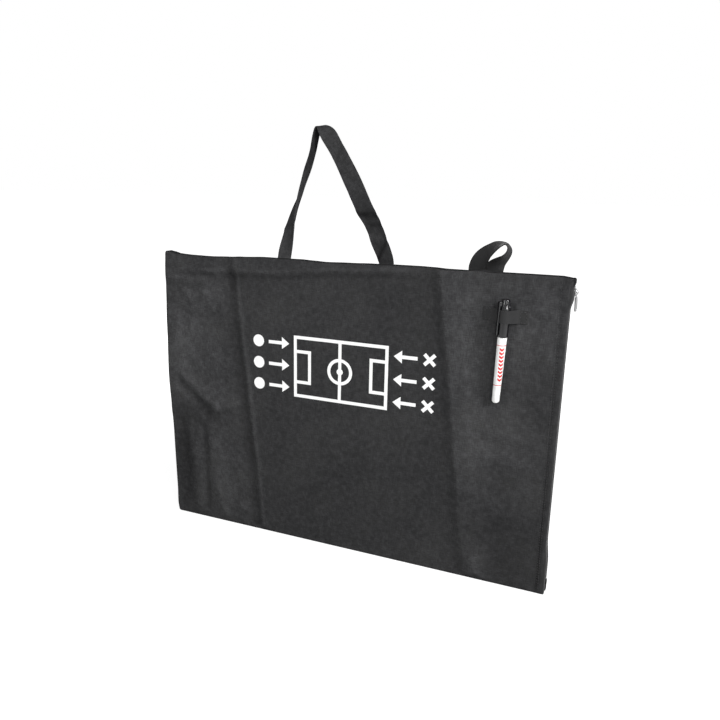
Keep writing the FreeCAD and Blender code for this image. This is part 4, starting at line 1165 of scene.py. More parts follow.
hangLoop = {
    "name": "hangLoop", "nodes": ("hang_loop", "loop_sewn_ends"), "body": "loop", "slot": "loop_webbing",
    "width": 20.0, "thick": 1.4, "left": 175.85, "span": 23.5, "rise": 36.0, "fold": (11.3, 434.0),
    "sewnY": 9.75, "sewnLow": 403.0, "sewnShare": 1.0, "across": 10, "samples": 110,
    "shares": [
        (0.0, 0.0, 0.0, 1.14), (0.03, 0.13, -0.02, 1.16), (0.12, 0.305, -0.06, 1.14),
        (0.25, 0.46, -0.16, 1.1), (0.44, 0.61, -0.30, 1.04), (0.68, 0.75, -0.46, 1.0),
        (0.95, 0.875, -0.60, 1.0), (1.27, 0.95, -0.82, 1.0), (1.52, 0.965, -1.0, 1.0),
        (1.67, 0.87, -1.0, 1.0), (1.71, 0.73, -0.89, 1.0), (1.65, 0.60, -0.81, 1.0),
        (1.49, 0.46, -0.70, 1.0), (1.23, 0.305, -0.48, 1.06), (1.03, 0.14, -0.16, 1.16),
        (0.96, 0.0, -0.03, 1.16),
    ],
    "creases": [((0.36, 1.0), (0.40, -0.6), -0.5, 0.012)],
    "edgeRaise": 0.25, "cup": [(0.0, 0.0)], "paintedLightShadeTable": [(0.0, 0.0)],
}
# Both strips: steps up each sewn end, points across, painted shade and light in creases, reach of the fold
strips = {
    "sewnSteps": (0.0, 0.35, 0.7), "underFold": 5.0, "crowding": 0.8, "edgeFrom": 0.9, "cupLevel": 0.5,
    "creasePaintedLightShade": 0.25, "foldReach": 4,
}


def stripStations(strip):    # each station: middle, turn, width
    foldY, foldZ = strip["fold"]
    left, right = strip["left"], strip["left"] + strip["span"]
    sewn, low, width = strip["sewnY"], strip["sewnLow"], strip["sewnShare"]
    levels = [low + (foldZ - low) * share for share in strips["sewnSteps"]] + [foldZ - strips["underFold"]]
    stations = [(Vector((left, sewn, z)), 0.0, width) for z in levels]
    for shareX, shareZ, turn, share in strip["shares"]:
        middle = Vector((left + shareX * strip["span"], foldY, foldZ + shareZ * strip["rise"]))
        stations.append((middle, turn * quarterTurn, share))
    return stations + [(Vector((right, sewn, z)), 0.0, width) for z in reversed(levels)]


def betweenStations(values, lengths, at):    # a smooth curve through the stations, read at a length
    index = max(i for i in range(len(lengths) - 1) if lengths[i] <= at or i == 0)
    earlier, later = max(index - 1, 0), min(index + 2, len(values) - 1)
    start, end = lengths[index], lengths[index + 1]
    share = min(max((at - start) / (end - start), 0.0), 1.0)
    slopeStart = (values[index + 1] - values[earlier]) * ((end - start) / (end - lengths[earlier]))
    slopeEnd = (values[later] - values[index]) * ((end - start) / (lengths[later] - start))
    eased, bend = ease(share), share * (1 - share)
    onLine = values[index] * (1 - eased) + values[index + 1] * eased
    return onLine + slopeStart * bend * (1 - share) - slopeEnd * bend * share


def stripSurface(strip):    # rows of points along the strip, and the same rows laid flat
    stations = stripStations(strip)
    middles = [station[0] for station in stations]
    lengths = [0.0]
    for first, second in zip(middles, middles[1:]):
        lengths.append(lengths[-1] + (second - first).length)
    whole = lengths[-1]
    steps = [whole * index / (strip["samples"] - 1) for index in range(strip["samples"])]
    line, turns, widths = (
        [betweenStations(values, lengths, at) for at in steps] for values in zip(*stations)
    )
    rows, flats = [], []
    for index, (middle, turn, share) in enumerate(zip(line, turns, widths)):
        along = line[min(index + 1, len(line) - 1)] - line[max(index - 1, 0)]
        along = Vector((along.x, 0, along.z)).normalized()
        inward = Vector((along.z, 0, -along.x))
        across = inward * math.cos(turn) + Vector((0, 1, 0)) * math.sin(turn)
        out = along.cross(across)
        half = strip["width"] * share / 2
        row, flat = [], []
        for step in range(strip["across"] + 1):
            side = 2 * step / strip["across"] - 1
            side = math.copysign(abs(side) ** strips["crowding"], side)
            lift = stripCrease(strip, steps[index] / whole, side)
            lift += strip["edgeRaise"] * (abs(side) > strips["edgeFrom"])
            lift += readAlong(strip["cup"], steps[index] / whole, True) * (strips["cupLevel"] - side * side)
            row.append(middle + across * (half * side) + out * lift)
            flat.append(((side * half) * mm, steps[index] * mm))
        rows.append(row)
        flats.append(flat)
    return rows, flats, whole


def stripCrease(strip, share, side):
    lift = 0.0
    for (startShare, startSide), (endShare, endSide), depth, width in strip["creases"]:
        if min(startSide, endSide) <= side <= max(startSide, endSide):
            onLine = startShare + (endShare - startShare) * (side - startSide) / (endSide - startSide)
            lift += depth * math.exp(-((share - onLine) / width) ** 2)
    return lift


def thickenCloth(piece, thick, angle, rounded=True):    # the sheet lies in the middle of its thickness
    useModifier(piece, "SOLIDIFY", thickness=thick * mm, offset=0, use_even_offset=False)
    if rounded:
        useModifier(piece, "SUBSURF", levels=1, render_levels=1)
    smoothFaces(piece, angle)


def makeStrip(strip, material):
    rows, flats, whole = stripSurface(strip)
    piece = clothGrid(strip["name"], rows, flats)
    perRow = len(rows[0])
    # painted light and shade along the strip and in its creases
    markPoints(piece, "fade", [
        readAlong(strip["paintedLightShadeTable"], index / (len(rows) - 1), True)
        + strips["creasePaintedLightShade"] * stripCrease(strip, index / (len(rows) - 1), 2 * step / (perRow - 1) - 1)
        for index in range(len(rows)) for step in range(perRow)
    ])
    thickenCloth(piece, strip["thick"], 70)
    dress(piece, material, None, strip["nodes"])
    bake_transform(piece)
    print(strip["name"], "is", round(whole), "mm long")


# Stitches, modelled once and laid along lines

stitch = {"length": 2.6, "gap": 1.0, "radius": 0.28, "sides": 6, "ends": 0.3, "full": 0.6, "proud": 0.12}


def stitchShape():    # a short thread, thinner at its ends, along X
    half, radius, thin = stitch["length"] / 2, stitch["radius"], stitch["ends"]
    full = half * stitch["full"]
    levels = [(-half, thin), (-full, 1.0), (full, 1.0), (half, thin)]
    points, faces = [], []
    count = stitch["sides"]
    for x, share in levels:
        for step in range(count):
            turn = 2 * math.pi * step / count
            points.append(Vector((x, radius * share * math.cos(turn), radius * share * math.sin(turn))))
    for level in range(len(levels) - 1):
        for step in range(count):
            after = (step + 1) % count
            low, high = level * count, (level + 1) * count
            faces.append((low + step, low + after, high + after, high + step))
    faces.append(tuple(reversed(range(count))))
    faces.append(tuple(range((len(levels) - 1) * count, len(levels) * count)))
    return points, faces


def repeatShape(name, shape, shapeFaces, places):    # one piece of the same shape at each place and turn
    points, faces = [], []
    for middle, turn in places:
        first = len(points)
        points += [middle + turn @ point for point in shape]
        faces += [tuple(first + corner for corner in face) for face in shapeFaces]
    return newPiece(name, points, faces)


def sewLines(name, lines, out, lift, finish):    # lift(point) sits each stitch on its cloth
    out = Vector(out)
    places = []
    for start, end in lines:
        start, run = Vector(start), Vector(end) - Vector(start)
        count = max(1, int(run.length / (stitch["length"] + stitch["gap"])))
        along = run.normalized()
        turn = Matrix((along, out.cross(along), out)).transposed()
        places += [(lift(start + run * ((index + 0.5) / count)), turn) for index in range(count)]
    piece = repeatShape(name, *stitchShape(), places)
    piece.data.uv_layers.new(name="cloth")
    turnOutwards(piece)
    smoothFaces(piece, 60)
    dress(piece, finish["thread"], "bag")


def boxLines(x, z, halfWide, halfHigh, crossed=False):    # a sewn rectangle, with a cross in it where asked
    corners = [(x - halfWide, 0, z - halfHigh), (x + halfWide, 0, z - halfHigh),
               (x + halfWide, 0, z + halfHigh), (x - halfWide, 0, z + halfHigh)]
    lines = list(zip(corners, corners[1:] + corners[:1]))
    if crossed:
        lines += [(corners[0], corners[2]), (corners[1], corners[3])]
    return lines


def onFront(point):
    return Vector((point.x, -bag["halfDepth"] - frontSwell(point.x, point.z) - stitch["proud"], point.z))


# Sewn lines: the hem's columns past its seam and its levels, and each strip's box inside its edges
seams = {
    "hemColumns": (0.4, 3.4), "hemLevels": range(8, 429, 60), "boxSides": 2.2, "boxLow": 2.5, "boxHigh": 8.0,
}


def makeSeams(finish):
    hem = bag["halfWidth"] - bag["hemFrom"]
    lines = []
    for off in seams["hemColumns"]:
        points = [(bagPlace(hem + off, level)[0], 0, level) for level in seams["hemLevels"]]
        lines += zip(points, points[1:])
    sewLines("hemStitches", lines, (0, -1, 0), onFront, finish)
    for strip in (carryStrap, hangLoop):
        outer = strip["sewnY"] + strip["thick"] / 2 + stitch["proud"]
        half = strip["width"] * strip["sewnShare"] / 2 - seams["boxSides"]
        low, high = strip["sewnLow"] + seams["boxLow"], strip["fold"][1] - seams["boxHigh"]
        lines = []
        for x in (strip["left"], strip["left"] + strip["span"]):
            lines += boxLines(x, (low + high) / 2, half, (high - low) / 2, True)

        def onStrip(point, outer=outer):
            return Vector((point.x, outer, point.z))

        sewLines(strip["name"] + "Stitches", lines, (0, 1, 0), onStrip, finish)


# Pen loop: an elastic strip, flat where it is sewn and bowed over the cap

markerLean = {"turn": 1.8, "about": 348.0, "shift": 0.7}    # the marker and its loop sit a little askew
penLoop = {
    "thick": 1.0, "sewn": 12.0, "rows": 18, "gap": 0.35, "bowSteps": 16, "pinch": 0.8, "pinchSoft": 2,
    "endColumns": (0, 2, 5, 8, 11), "slopeShares": (0.12, 0.4, 0.7), "onClothFrom": 4, "onClothRun": 6,
    "box": (4.0, 7.0), "boxIn": 0.4, "proud": 0.1,
}


def makePenLoop(finish):
    low, high = boxOf("pen_loop")
    axis = middleOf("marker_barrel")
    capRadius = boxOf("marker_cap")[1].x - axis.x
    radius = capRadius + penLoop["gap"] + penLoop["thick"] / 2
    panelY = -bag["halfDepth"] - penLoop["thick"] / 2
    lean = math.tan(math.radians(markerLean["turn"]))
    halfSpan = (high.x - low.x) / 2
    bend = halfSpan - penLoop["sewn"]
    reach = Vector((bend, panelY - axis.y))
    touch = math.atan2(reach.y, reach.x) - math.acos(radius / reach.length)    # where the strip meets the cap
    steps, sweep = penLoop["bowSteps"], -math.pi - 2 * touch
    turns = [touch + sweep * step / steps for step in range(steps + 1)]
    bow = [Vector((math.cos(turn), math.sin(turn))) * radius for turn in turns]
    half = [Vector((halfSpan - off, panelY - axis.y)) for off in penLoop["endColumns"]]
    half += [reach.lerp(bow[0], share) for share in penLoop["slopeShares"]]
    line = half + bow + [Vector((-point.x, point.y)) for point in reversed(half)]
    rows, flats = [], []
    run = 0.0
    for index, point in enumerate(line):
        if index:
            run += (point - line[index - 1]).length
        row, flat = [], []
        bowed = ease((bend + penLoop["pinchSoft"] - abs(point.x)) / bend)
        onCloth = ease((abs(point.x) - bend + penLoop["onClothFrom"]) / penLoop["onClothRun"])
        for step in range(penLoop["rows"] + 1):
            share = step / penLoop["rows"]
            z = low.z + (high.z - low.z) * share
            z -= lean * point.x + penLoop["pinch"] * (2 * share - 1) * bowed
            x = axis.x + point.x + markerLean["shift"] + lean * (z - markerLean["about"])
            row.append((x, axis.y + point.y - frontSwell(x, z) * onCloth, z))
            flat.append((z * mm, run * mm))
        rows.append(row)
        flats.append(flat)
    piece = clothGrid("penLoopStrip", rows, flats)
    turnOutwards(piece)
    thickenCloth(piece, penLoop["thick"], 60)
    dress(piece, finish["elastic"], "bag", ("pen_loop",))
    lines = []
    level = (low.z + high.z) / 2
    for side in (-1, 1):
        off = side * (halfSpan - penLoop["sewn"] / 2 - penLoop["boxIn"])
        shift = markerLean["shift"] + lean * (level - markerLean["about"])
        lines += boxLines(axis.x + off + shift, level - lean * off, *penLoop["box"])

    def onStrip(point):
        outer = panelY - penLoop["thick"] / 2 - penLoop["proud"]
        return Vector((point.x, outer - frontSwell(point.x, point.z), point.z))

    sewLines("penLoopStitches", lines, (0, -1, 0), onStrip, finish)


# Marker: turned from outlines of radius and height about its own axis

def turnPiece(name, outline, axis, edge=0.25):
    points = [(axis.x + radius, axis.y, z) for radius, z in outline]
    edges = [(index, (index + 1) % len(points)) for index in range(len(points))]
    piece = newPiece(name, points, [], edges)
    editAll(piece)
    bpy.ops.mesh.spin(
        steps=marker["sides"], angle=2 * math.pi, center=(axis.x * mm, axis.y * mm, 0), axis=(0, 0, 1),
    )
    leaveEdit()
    turnOutwards(piece)
    editAll(piece)
    bpy.ops.mesh.dissolve_degenerate(threshold=weld * mm)
    leaveEdit()
    if edge:
        softenEdges(piece, edge, 2, 30)
    smoothFaces(piece, 35)
    return piece


markerCap = {
    "wall": 1.3, "topWall": 2.5, "mouth": 3.0, "sides": 80, "flutes": 10, "fluteLow": 391.0, "fluteHigh": 401.0,
    "fluteDeep": 0.45, "fluteEdge": 0.12, "taper": 0.36, "crown": 1.6, "edge": 0.15, "linerWall": 1.0,
}


def makeMarkerCap(finish, axis):
    low, high = boxOf("marker_cap")
    sides, fluteLow, fluteHigh = markerCap["sides"], markerCap["fluteLow"], markerCap["fluteHigh"]
    cap = addTube("capShell", high.x - axis.x, low.z, high.z, axis, sides)
    cutAcross(cap, (0, 0, 1), (fluteLow, fluteHigh, low.z + markerCap["mouth"]))
    perFlute = sides // markerCap["flutes"]

    def inFlute(face):
        middle = face.center / mm
        if abs(face.normal.z) > 0.5 or not fluteLow < middle.z < fluteHigh:
            return False
        turn = math.atan2(middle.y - axis.y, middle.x - axis.x) / (2 * math.pi) % 1.0
        return int(turn * sides) % perFlute < perFlute // 2

    pickParts(cap, "polygons", inFlute)
    bpy.ops.mesh.inset(thickness=markerCap["fluteEdge"] * mm, depth=-markerCap["fluteDeep"] * mm)
    leaveEdit()
    pickParts(cap, "edges", lambda edge: edgeMiddle(cap, edge).z > high.z - within)
    bpy.ops.mesh.bevel(offset=markerCap["crown"] * mm, segments=5, profile=0.5)
    leaveEdit()
    pickParts(cap, "polygons", lambda face: face.normal.z < -0.9 and face.center.z / mm < low.z + within)
    bpy.ops.mesh.inset(thickness=markerCap["wall"] * mm)
    for rise in (fluteLow - low.z, high.z - markerCap["topWall"] - fluteLow):
        bpy.ops.mesh.extrude_region_move(TRANSFORM_OT_translate={"value": (0, 0, rise * mm)})
    leaveEdit()
    taperCap(cap, axis, high.z)
    turnOutwards(cap)
    softenEdges(cap, markerCap["edge"], 1, 50)
    whole = joinPieces("markerCapShell", [cap, makeClip(axis)])
    smoothFaces(whole, 35)
    leanMarker(whole, axis)
    dress(whole, finish["cap"], "cap", ("marker_cap",))
    linerLow, linerHigh = boxOf("cap_liner")
    outer = radiusOf("cap_liner")
    inner, levels = outer - markerCap["linerWall"], (linerLow.z, fluteLow, linerHigh.z)
    outline = [(inner, linerLow.z)] + [(outer, z) for z in levels] + [(inner, z) for z in levels[:0:-1]]
    liner = turnPiece("capLinerTube", outline, axis, edge=0)
    taperCap(liner, axis, high.z)
    leanMarker(liner, axis)
    dress(liner, finish["liner"], "cap", ("cap_liner",))


def taperCap(piece, axis, top):    # the fluted end tapers
    for corner in piece.data.vertices:
        share = max(corner.co.z / mm - markerCap["fluteLow"], 0) / (top - markerCap["fluteLow"])
        for field, centre in (("x", axis.x), ("y", axis.y)):
            off = getattr(corner.co, field) - centre * mm
            setattr(corner.co, field, centre * mm + off * (1 - markerCap["taper"] * share))


def leanMarker(piece, axis):    # the elastic lets the marker hang a little askew
    piece.data.transform(
        Matrix.Translation(Vector((axis.x + markerLean["shift"], 0, markerLean["about"])) * mm)
        @ Matrix.Rotation(math.radians(markerLean["turn"]), 4, "Y")
        @ Matrix.Translation(Vector((-axis.x, 0, -markerLean["about"])) * mm)
    )


capClip = {
    "width": 4.0, "thick": 1.6, "off": 8.7, "low": 357.0, "high": 400.0, "turn": -48.0, "edge": 0.45,
    "rootHigh": 6.0, "rootOff": 6.0, "noseCuts": (3.0, 8.0), "topCut": 2.0,
    "noseShare": 0.72, "noseRun": 24, "tipHigh": 4, "tipFrom": 0.5, "tipOut": 0.35,
}


def makeClip(axis):    # a springy bar beside the cap, on a root at its upper end
    half, off, share = capClip["width"] / 2, capClip["off"], capClip["noseShare"]
    outer = -off - capClip["thick"]
    low, high = capClip["low"], capClip["high"]
    root = high - capClip["rootHigh"]
    bar = addBlock("clipBar", (-half, outer, low), (half, -off, high))
    cutAcross(bar, (0, 0, 1), [low + rise for rise in capClip["noseCuts"]] + [root, high - capClip["topCut"]])
    pickParts(bar, "polygons", lambda face: face.normal.y > 0.9 and face.center.z / mm > root)
    inward = (0, (off - capClip["rootOff"]) * mm, 0)
    bpy.ops.mesh.extrude_region_move(TRANSFORM_OT_translate={"value": inward})
    leaveEdit()
    for corner in bar.data.vertices:    # slimmer towards its nose
        height = corner.co.z / mm - low
        corner.co.x *= share + (1 - share) * ease(height / capClip["noseRun"])
        if height < capClip["tipHigh"] and corner.co.y / mm > outer + capClip["tipFrom"]:
            corner.co.y += capClip["tipOut"] * mm
    softenEdges(bar, capClip["edge"], 3, 50)
    bar.location = (axis.x * mm, axis.y * mm, 0)
    bar.rotation_euler.z = math.radians(capClip["turn"])
    applyPlace(bar)
    return bar


marker = {
    "sides": 64, "wall": 1.0, "capGap": 0.1, "slim": 0.3, "tailSlim": 0.5,    # slimmer than its room
    "waist": [(0.05, 8.0), (0.0, 6.0)], "endRound": 4.2, "endSteps": 8, "plugIn": 1.1, "flange": 1.2,
    "cone": [(1.4, 0.0), (1.9, 3.0)], "coneTip": 2.8, "nibGap": 0.05,
    "nibTip": [(1.0, 1.9), (0.86, 0.9), (0.5, 0.15)],    # share of its radius, distance below its end
}


def addMarkerPart(name, node, outline, axis, edge, material, slot):    # on the barrel's body
    piece = turnPiece(name, outline, axis, edge)
    if slot == "nib_felt":
        piece.data.uv_layers.new(name="cloth")
    leanMarker(piece, axis)
    dress(piece, material, "barrel", (node,))


def makeMarker(finish):
    axis = middleOf("marker_barrel")
    makeMarkerCap(finish, axis)
    low, high = (corner.z for corner in boxOf("marker_barrel"))
    shoulder = boxOf("marker_cap")[0].z - marker["capGap"]
    wide = radiusOf("marker_barrel") - marker["slim"]
    tail = radiusOf("marker_end_plug") - marker["tailSlim"]
    neck, thick, fill = (radiusOf(f"marker_{node}") for node in ("nib_holder", "nib", "ink_filler"))
    bore = neck - marker["wall"]
    outline = [(tail - marker["wall"], low), (tail, low)]
    outline += [(wide - off, shoulder - below) for off, below in marker["waist"]]
    outline += [(wide, shoulder), (neck, shoulder), (neck, high), (bore, high), (bore, shoulder)]
    addMarkerPart("markerBarrelShell", "marker_barrel", outline, axis, 0.25, finish["barrel"], "barrel_plastic")
    plugLow, plugHigh = (corner.z for corner in boxOf("marker_end_plug"))
    bend, inner = marker["endRound"], tail - marker["plugIn"]
    outline = [(0.0, plugLow)] + [
        (tail - bend * (1 - math.sin(turn)), plugLow + bend * (1 - math.cos(turn)))
        for turn in quarterTurns(marker["endSteps"])
    ]
    outline += [(tail, low), (inner, low), (inner, plugHigh), (0.0, plugHigh)]
    addMarkerPart("markerEndPlug", "marker_end_plug", outline, axis, 0.15, finish["plug"], "barrel_plastic")
    holderLow, holderHigh = (corner.z for corner in boxOf("marker_nib_holder"))
    hole, inner, flange = thick + marker["nibGap"], neck - marker["plugIn"], high + marker["flange"]
    outline = [(hole, holderLow), (inner, holderLow), (inner, high), (neck, high), (neck, flange)]
    outline += [(neck - off, flange + rise) for off, rise in marker["cone"]]
    outline += [(marker["coneTip"], holderHigh), (hole, holderHigh)]
    addMarkerPart("markerNibHolder", "marker_nib_holder", outline, axis, 0.2, finish["cap"], "cap_plastic")
    nibLow, nibHigh = (corner.z for corner in boxOf("marker_nib"))
    outline = [(0.0, nibLow), (thick, nibLow)]
    outline += [(thick * share, nibHigh - below) for share, below in marker["nibTip"]] + [(0.0, nibHigh)]
    addMarkerPart("markerNib", "marker_nib", outline, axis, 0.1, finish["felt"], "nib_felt")
    fillLow, fillHigh = (corner.z for corner in boxOf("marker_ink_filler"))
    outline = [(0.0, fillLow), (fill, fillLow), (fill, fillHigh), (0.0, fillHigh)]
    addMarkerPart("markerInkFiller", "marker_ink_filler", outline, axis, 0.2, finish["felt"], "nib_felt")
    print("marker done")


# Zip: two tapes, two rows of teeth, cloth tabs at its ends, slider and pull

zipParts = {
    "bow": 3.0, "bowLow": (42, 40), "bowHigh": (408, 16), "fold": 0.16, "rearFold": 0.14,
    "tapeThick": 0.6, "tapeSteps": 90, "tapeCrumple": (0.12, 24, 3.3), "tapeIn": 0.3, "sideSteps": 5,
    "frontRoll": [(4, 0.3), (1.2, 0.35), (0.3, 0.9), (0, 2.0)],    # in from the side, back from the front
    "rearRoll": [(3, 0.3), (0.8, 0.45), (0, 1.1)],
    "toothPitch": 2.4, "toothTall": 0.9, "toothNeck": 0.6, "toothEdge": 0.2, "toothSlack": 0.01,
}


def zipBow(z):    # the side draws in a little between its ends
    (low, lowRun), (high, highRun) = zipParts["bowLow"], zipParts["bowHigh"]
    return -zipParts["bow"] * ease((z - low) / lowRun) * ease((high - z) / highRun)


def makeTape(name, node, finish, outline, squashWith, anchorY, keep):
    low, high = boxOf(node)
    rows, flats = [], []
    for step in range(zipParts["tapeSteps"] + 1):
        z = low.z + (high.z - low.z) * step / zipParts["tapeSteps"]
        run, row, flat = 0.0, [], []
        for index, (x, y) in enumerate(outline):
            if index:
                run += math.hypot(x - outline[index - 1][0], y - outline[index - 1][1])
            row.append((x + zipBow(z) + crumple(zipParts["tapeCrumple"], z, y), y, z))
            flat.append((run * mm, z * mm))
        rows.append(row)
        flats.append(flat)
    piece = clothGrid(name, rows, flats)
    turnOutwards(piece)
    thickenCloth(piece, zipParts["tapeThick"], 60, rounded=False)
    dress(piece, finish["tape"], "bag", (node,))
    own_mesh(piece)


def makeTeeth(name, node, finish, stagger, squashWith, anchorY, keep):    # stagger: share of a pitch
    low, high = boxOf(node)
    middle, share = (low.y + high.y) / 2, zipParts["toothNeck"]
    pitch, tall = zipParts["toothPitch"], zipParts["toothTall"]
    tooth = addBlock("tooth", (low.x, low.y, 0), (high.x, high.y, tall))
    cutAcross(tooth, (0, 1, 0), (middle,))
    for corner in tooth.data.vertices:    # slimmer at its waist
        if abs(corner.co.y / mm - middle) < within:
            corner.co.z = corner.co.z * share + tall * (1 - share) / 2 * mm
    softenEdges(tooth, zipParts["toothEdge"], 1, 40)
    shape = [corner.co / mm for corner in tooth.data.vertices]
    shapeFaces = [tuple(face.vertices) for face in tooth.data.polygons]
    bpy.data.objects.remove(tooth)
    count = int((high.z - low.z - tall) / pitch) + 1
    levels = [low.z + pitch * (stagger + index) for index in range(count)]
    places = [
        (Vector((zipBow(z), 0, z)), Matrix.Identity(3))
        for z in levels if z + tall <= high.z + zipParts["toothSlack"]
    ]
    piece = repeatShape(name, shape, shapeFaces, places)
    smoothFaces(piece, 35)
    dress(piece, finish["teeth"], "bag", (node,))
    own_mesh(piece)


zipTab = {
    "top": (-0.6, 0.5), "bottom": (-0.4, -0.3), "root": 3.0, "cuts": (5, 10, 8), "soft": 0.8,
    "wave": (0.5, 17, 3), "lumps": (0.6, 4.0, 7.7), "rim": (0.4, 5.0, 2.2),
    "rise": 4.6, "crown": (0.6, 2.0), "droop": 2.4,
}


def makeTab(name, node, finish, out, lean):    # a folded end of cloth, lumpy and soft
    low, high = boxOf(node)
    root, end = low.x - zipTab["root"], high.x + out
    countX, countY, countZ = zipTab["cuts"]
    waveHigh, waveAcross, waveUp = zipTab["wave"]
    crown, fall = zipTab["crown"]
    tab = addBlock(name, (root, low.y, low.z), (end, high.y, high.z))
    for axis, start, stop, count in (((0, 1, 0), low.y, high.y, countY), ((0, 0, 1), low.z, high.z, countZ),
                                     ((1, 0, 0), root, end, countX)):
        cutAcross(tab, axis, [start + (stop - start) * step / count for step in range(1, count)])
    for corner in tab.data.vertices:
        point = corner.co / mm
        across = (point.y - low.y) / (high.y - low.y)
        level = (point.z - low.z) / (high.z - low.z)
        outward = max((point.x - low.x) / (end - low.x), 0)
        swell = math.sqrt(math.sin(math.pi * min(max(across, 0), 1)))
        fold = waveHigh * math.sin(across * waveAcross + level * waveUp)
        fold += crumple(zipTab["lumps"], point.y, point.z)
        shift = ((swell - 1) * out + fold) * zipTab["soft"] + lean * out * (level - 0.5)
        corner.co.x += shift * outward * mm
        if lean > 0:
            taper = (1 - level) * zipTab["rise"] * outward ** 2 + level * (crown - fall * outward)
        else:
            taper = -zipTab["droop"] * level * outward ** 2
        corner.co.z += (crumple(zipTab["rim"], point.x, point.y) + taper) * mm
    useModifier(tab, "SUBSURF", levels=1, render_levels=1)
    tab.data.uv_layers[0].name = "cloth"
    for loop in tab.data.loops:
        spot = tab.data.vertices[loop.vertex_index].co
        tab.data.uv_layers["cloth"].data[loop.index].uv = (spot.y + spot.x, spot.z)
    smoothFaces(tab, 80)
    dress(tab, finish["plainCloth"], "bag", (node,))


zipSlider = {
    "plate": 0.9, "plateCuts": (3.2, 6.6), "plateEdge": 0.35, "edge": 0.2,
    "foot": 0.74, "footRun": 0.6, "crownIn": 0.3, "crownFrom": 0.75,    # shares of its width and height
    "neckIn": 0.5, "neckAcross": (0.7, 1.3), "neckBelow": (3.0, 0.4),
    "railAt": 0.84, "railHalf": 0.35, "railWide": 1.3, "railIn": 0.3, "railLow": 0.6, "railBelow": 3.4,
    "wire": 0.5, "bailIn": 0.45, "bailFlat": 0.86, "bailSunk": 0.1,
}


def addWireRing(radius, wire, **place):
    clearSelection()
    bpy.ops.mesh.primitive_torus_add(
        major_radius=radius * mm, minor_radius=wire * mm, major_segments=40, minor_segments=12, **place,
    )
    return bpy.context.object


def narrowAcross(piece, middle, share):    # share(height in millimetres) of the width at each height
    for corner in piece.data.vertices:
        corner.co.y = middle * mm + (corner.co.y - middle * mm) * share(corner.co.z / mm)


def makeSlider(finish):
    low, high = boxOf("zip_slider")
    middle = (low + high) / 2
    plate, foot, crownFrom = zipSlider["plate"], zipSlider["foot"], zipSlider["crownFrom"]

    def shieldShare(z):
        height = (z - low.z) / (high.z - low.z)
        crown = zipSlider["crownIn"] * ease((height - crownFrom) / (1 - crownFrom))
        return foot + (1 - foot) * ease(height / zipSlider["footRun"]) - crown

    parts = []
    for start in (low.x, high.x - plate):    # a shield-shaped plate each side of the teeth
        shield = addBlock("sliderPlate", (start, low.y, low.z), (start + plate, high.y, high.z))
        cutAcross(shield, (0, 0, 1), [low.z + rise for rise in zipSlider["plateCuts"]])
        narrowAcross(shield, middle.y, shieldShare)
        softenEdges(shield, zipSlider["plateEdge"], 3, 30)
        parts.append(shield)
    inset, (front, back) = zipSlider["neckIn"], zipSlider["neckAcross"]
    neckLow, neckHigh = (high.z - below for below in zipSlider["neckBelow"])
    neck = addBlock(
        "sliderNeck", (low.x + inset, middle.y + front, neckLow), (high.x - inset, middle.y + back, neckHigh),
    )
    softenEdges(neck, zipSlider["edge"], 1)
    parts.append(neck)
    half, wide, inset = zipSlider["railHalf"], zipSlider["railWide"], zipSlider["railIn"]
    railLow, railHigh = low.z + zipSlider["railLow"], high.z - zipSlider["railBelow"]
    for side in (-1, 1):    # the flanges that hold the teeth in
        edge = middle.y + side * (high.y - low.y) / 2 * zipSlider["railAt"]
        for start in (low.x + inset, high.x - inset - wide):
            rail = addBlock("sliderRail", (start, edge - half, railLow), (start + wide, edge + half, railHigh))
            softenEdges(rail, zipSlider["edge"], 2)
            parts.append(rail)
    body = joinPieces("zipSliderBody", parts)
    smoothFaces(body, 40)
    dress(body, finish["chrome"], "slider", ("zip_slider",))
    low, high = boxOf("slider_bail")
    middle, wire = (low + high) / 2, zipSlider["wire"]
    bail = addWireRing((high.z - low.z) / 2 - zipSlider["bailIn"], wire, rotation=(quarterTurn, 0, 0))
    bail.scale = (zipSlider["bailFlat"], 1, 1)
    applyPlace(bail)
    keepHalf(bail, (1, 0, 0))
    bail.scale.y = (high.y - low.y) / (2 * wire)
    bail.location = Vector((low.x - zipSlider["bailSunk"], middle.y, middle.z)) * mm
    applyPlace(bail)
    bail.name = bail.data.name = "sliderBail"
    smoothFaces(bail, 40)
    dress(bail, finish["chrome"], "slider", ("slider_bail",))


zipPull = {
    "wide": 5.6, "thick": 1.3, "ring": 2.9, "ringWire": 0.6, "turn": -22.0, "lean": -2.0, "short": 3.0,
    "hingeIn": 0.65, "lap": 0.2, "footCut": 2.5, "topCut": 4.0, "endHigh": 1, "topShare": 0.55,
    "footShare": 0.7, "panelIn": 0.8, "panelStep": 0.15, "panelDeep": 0.25, "edge": 0.18,
}


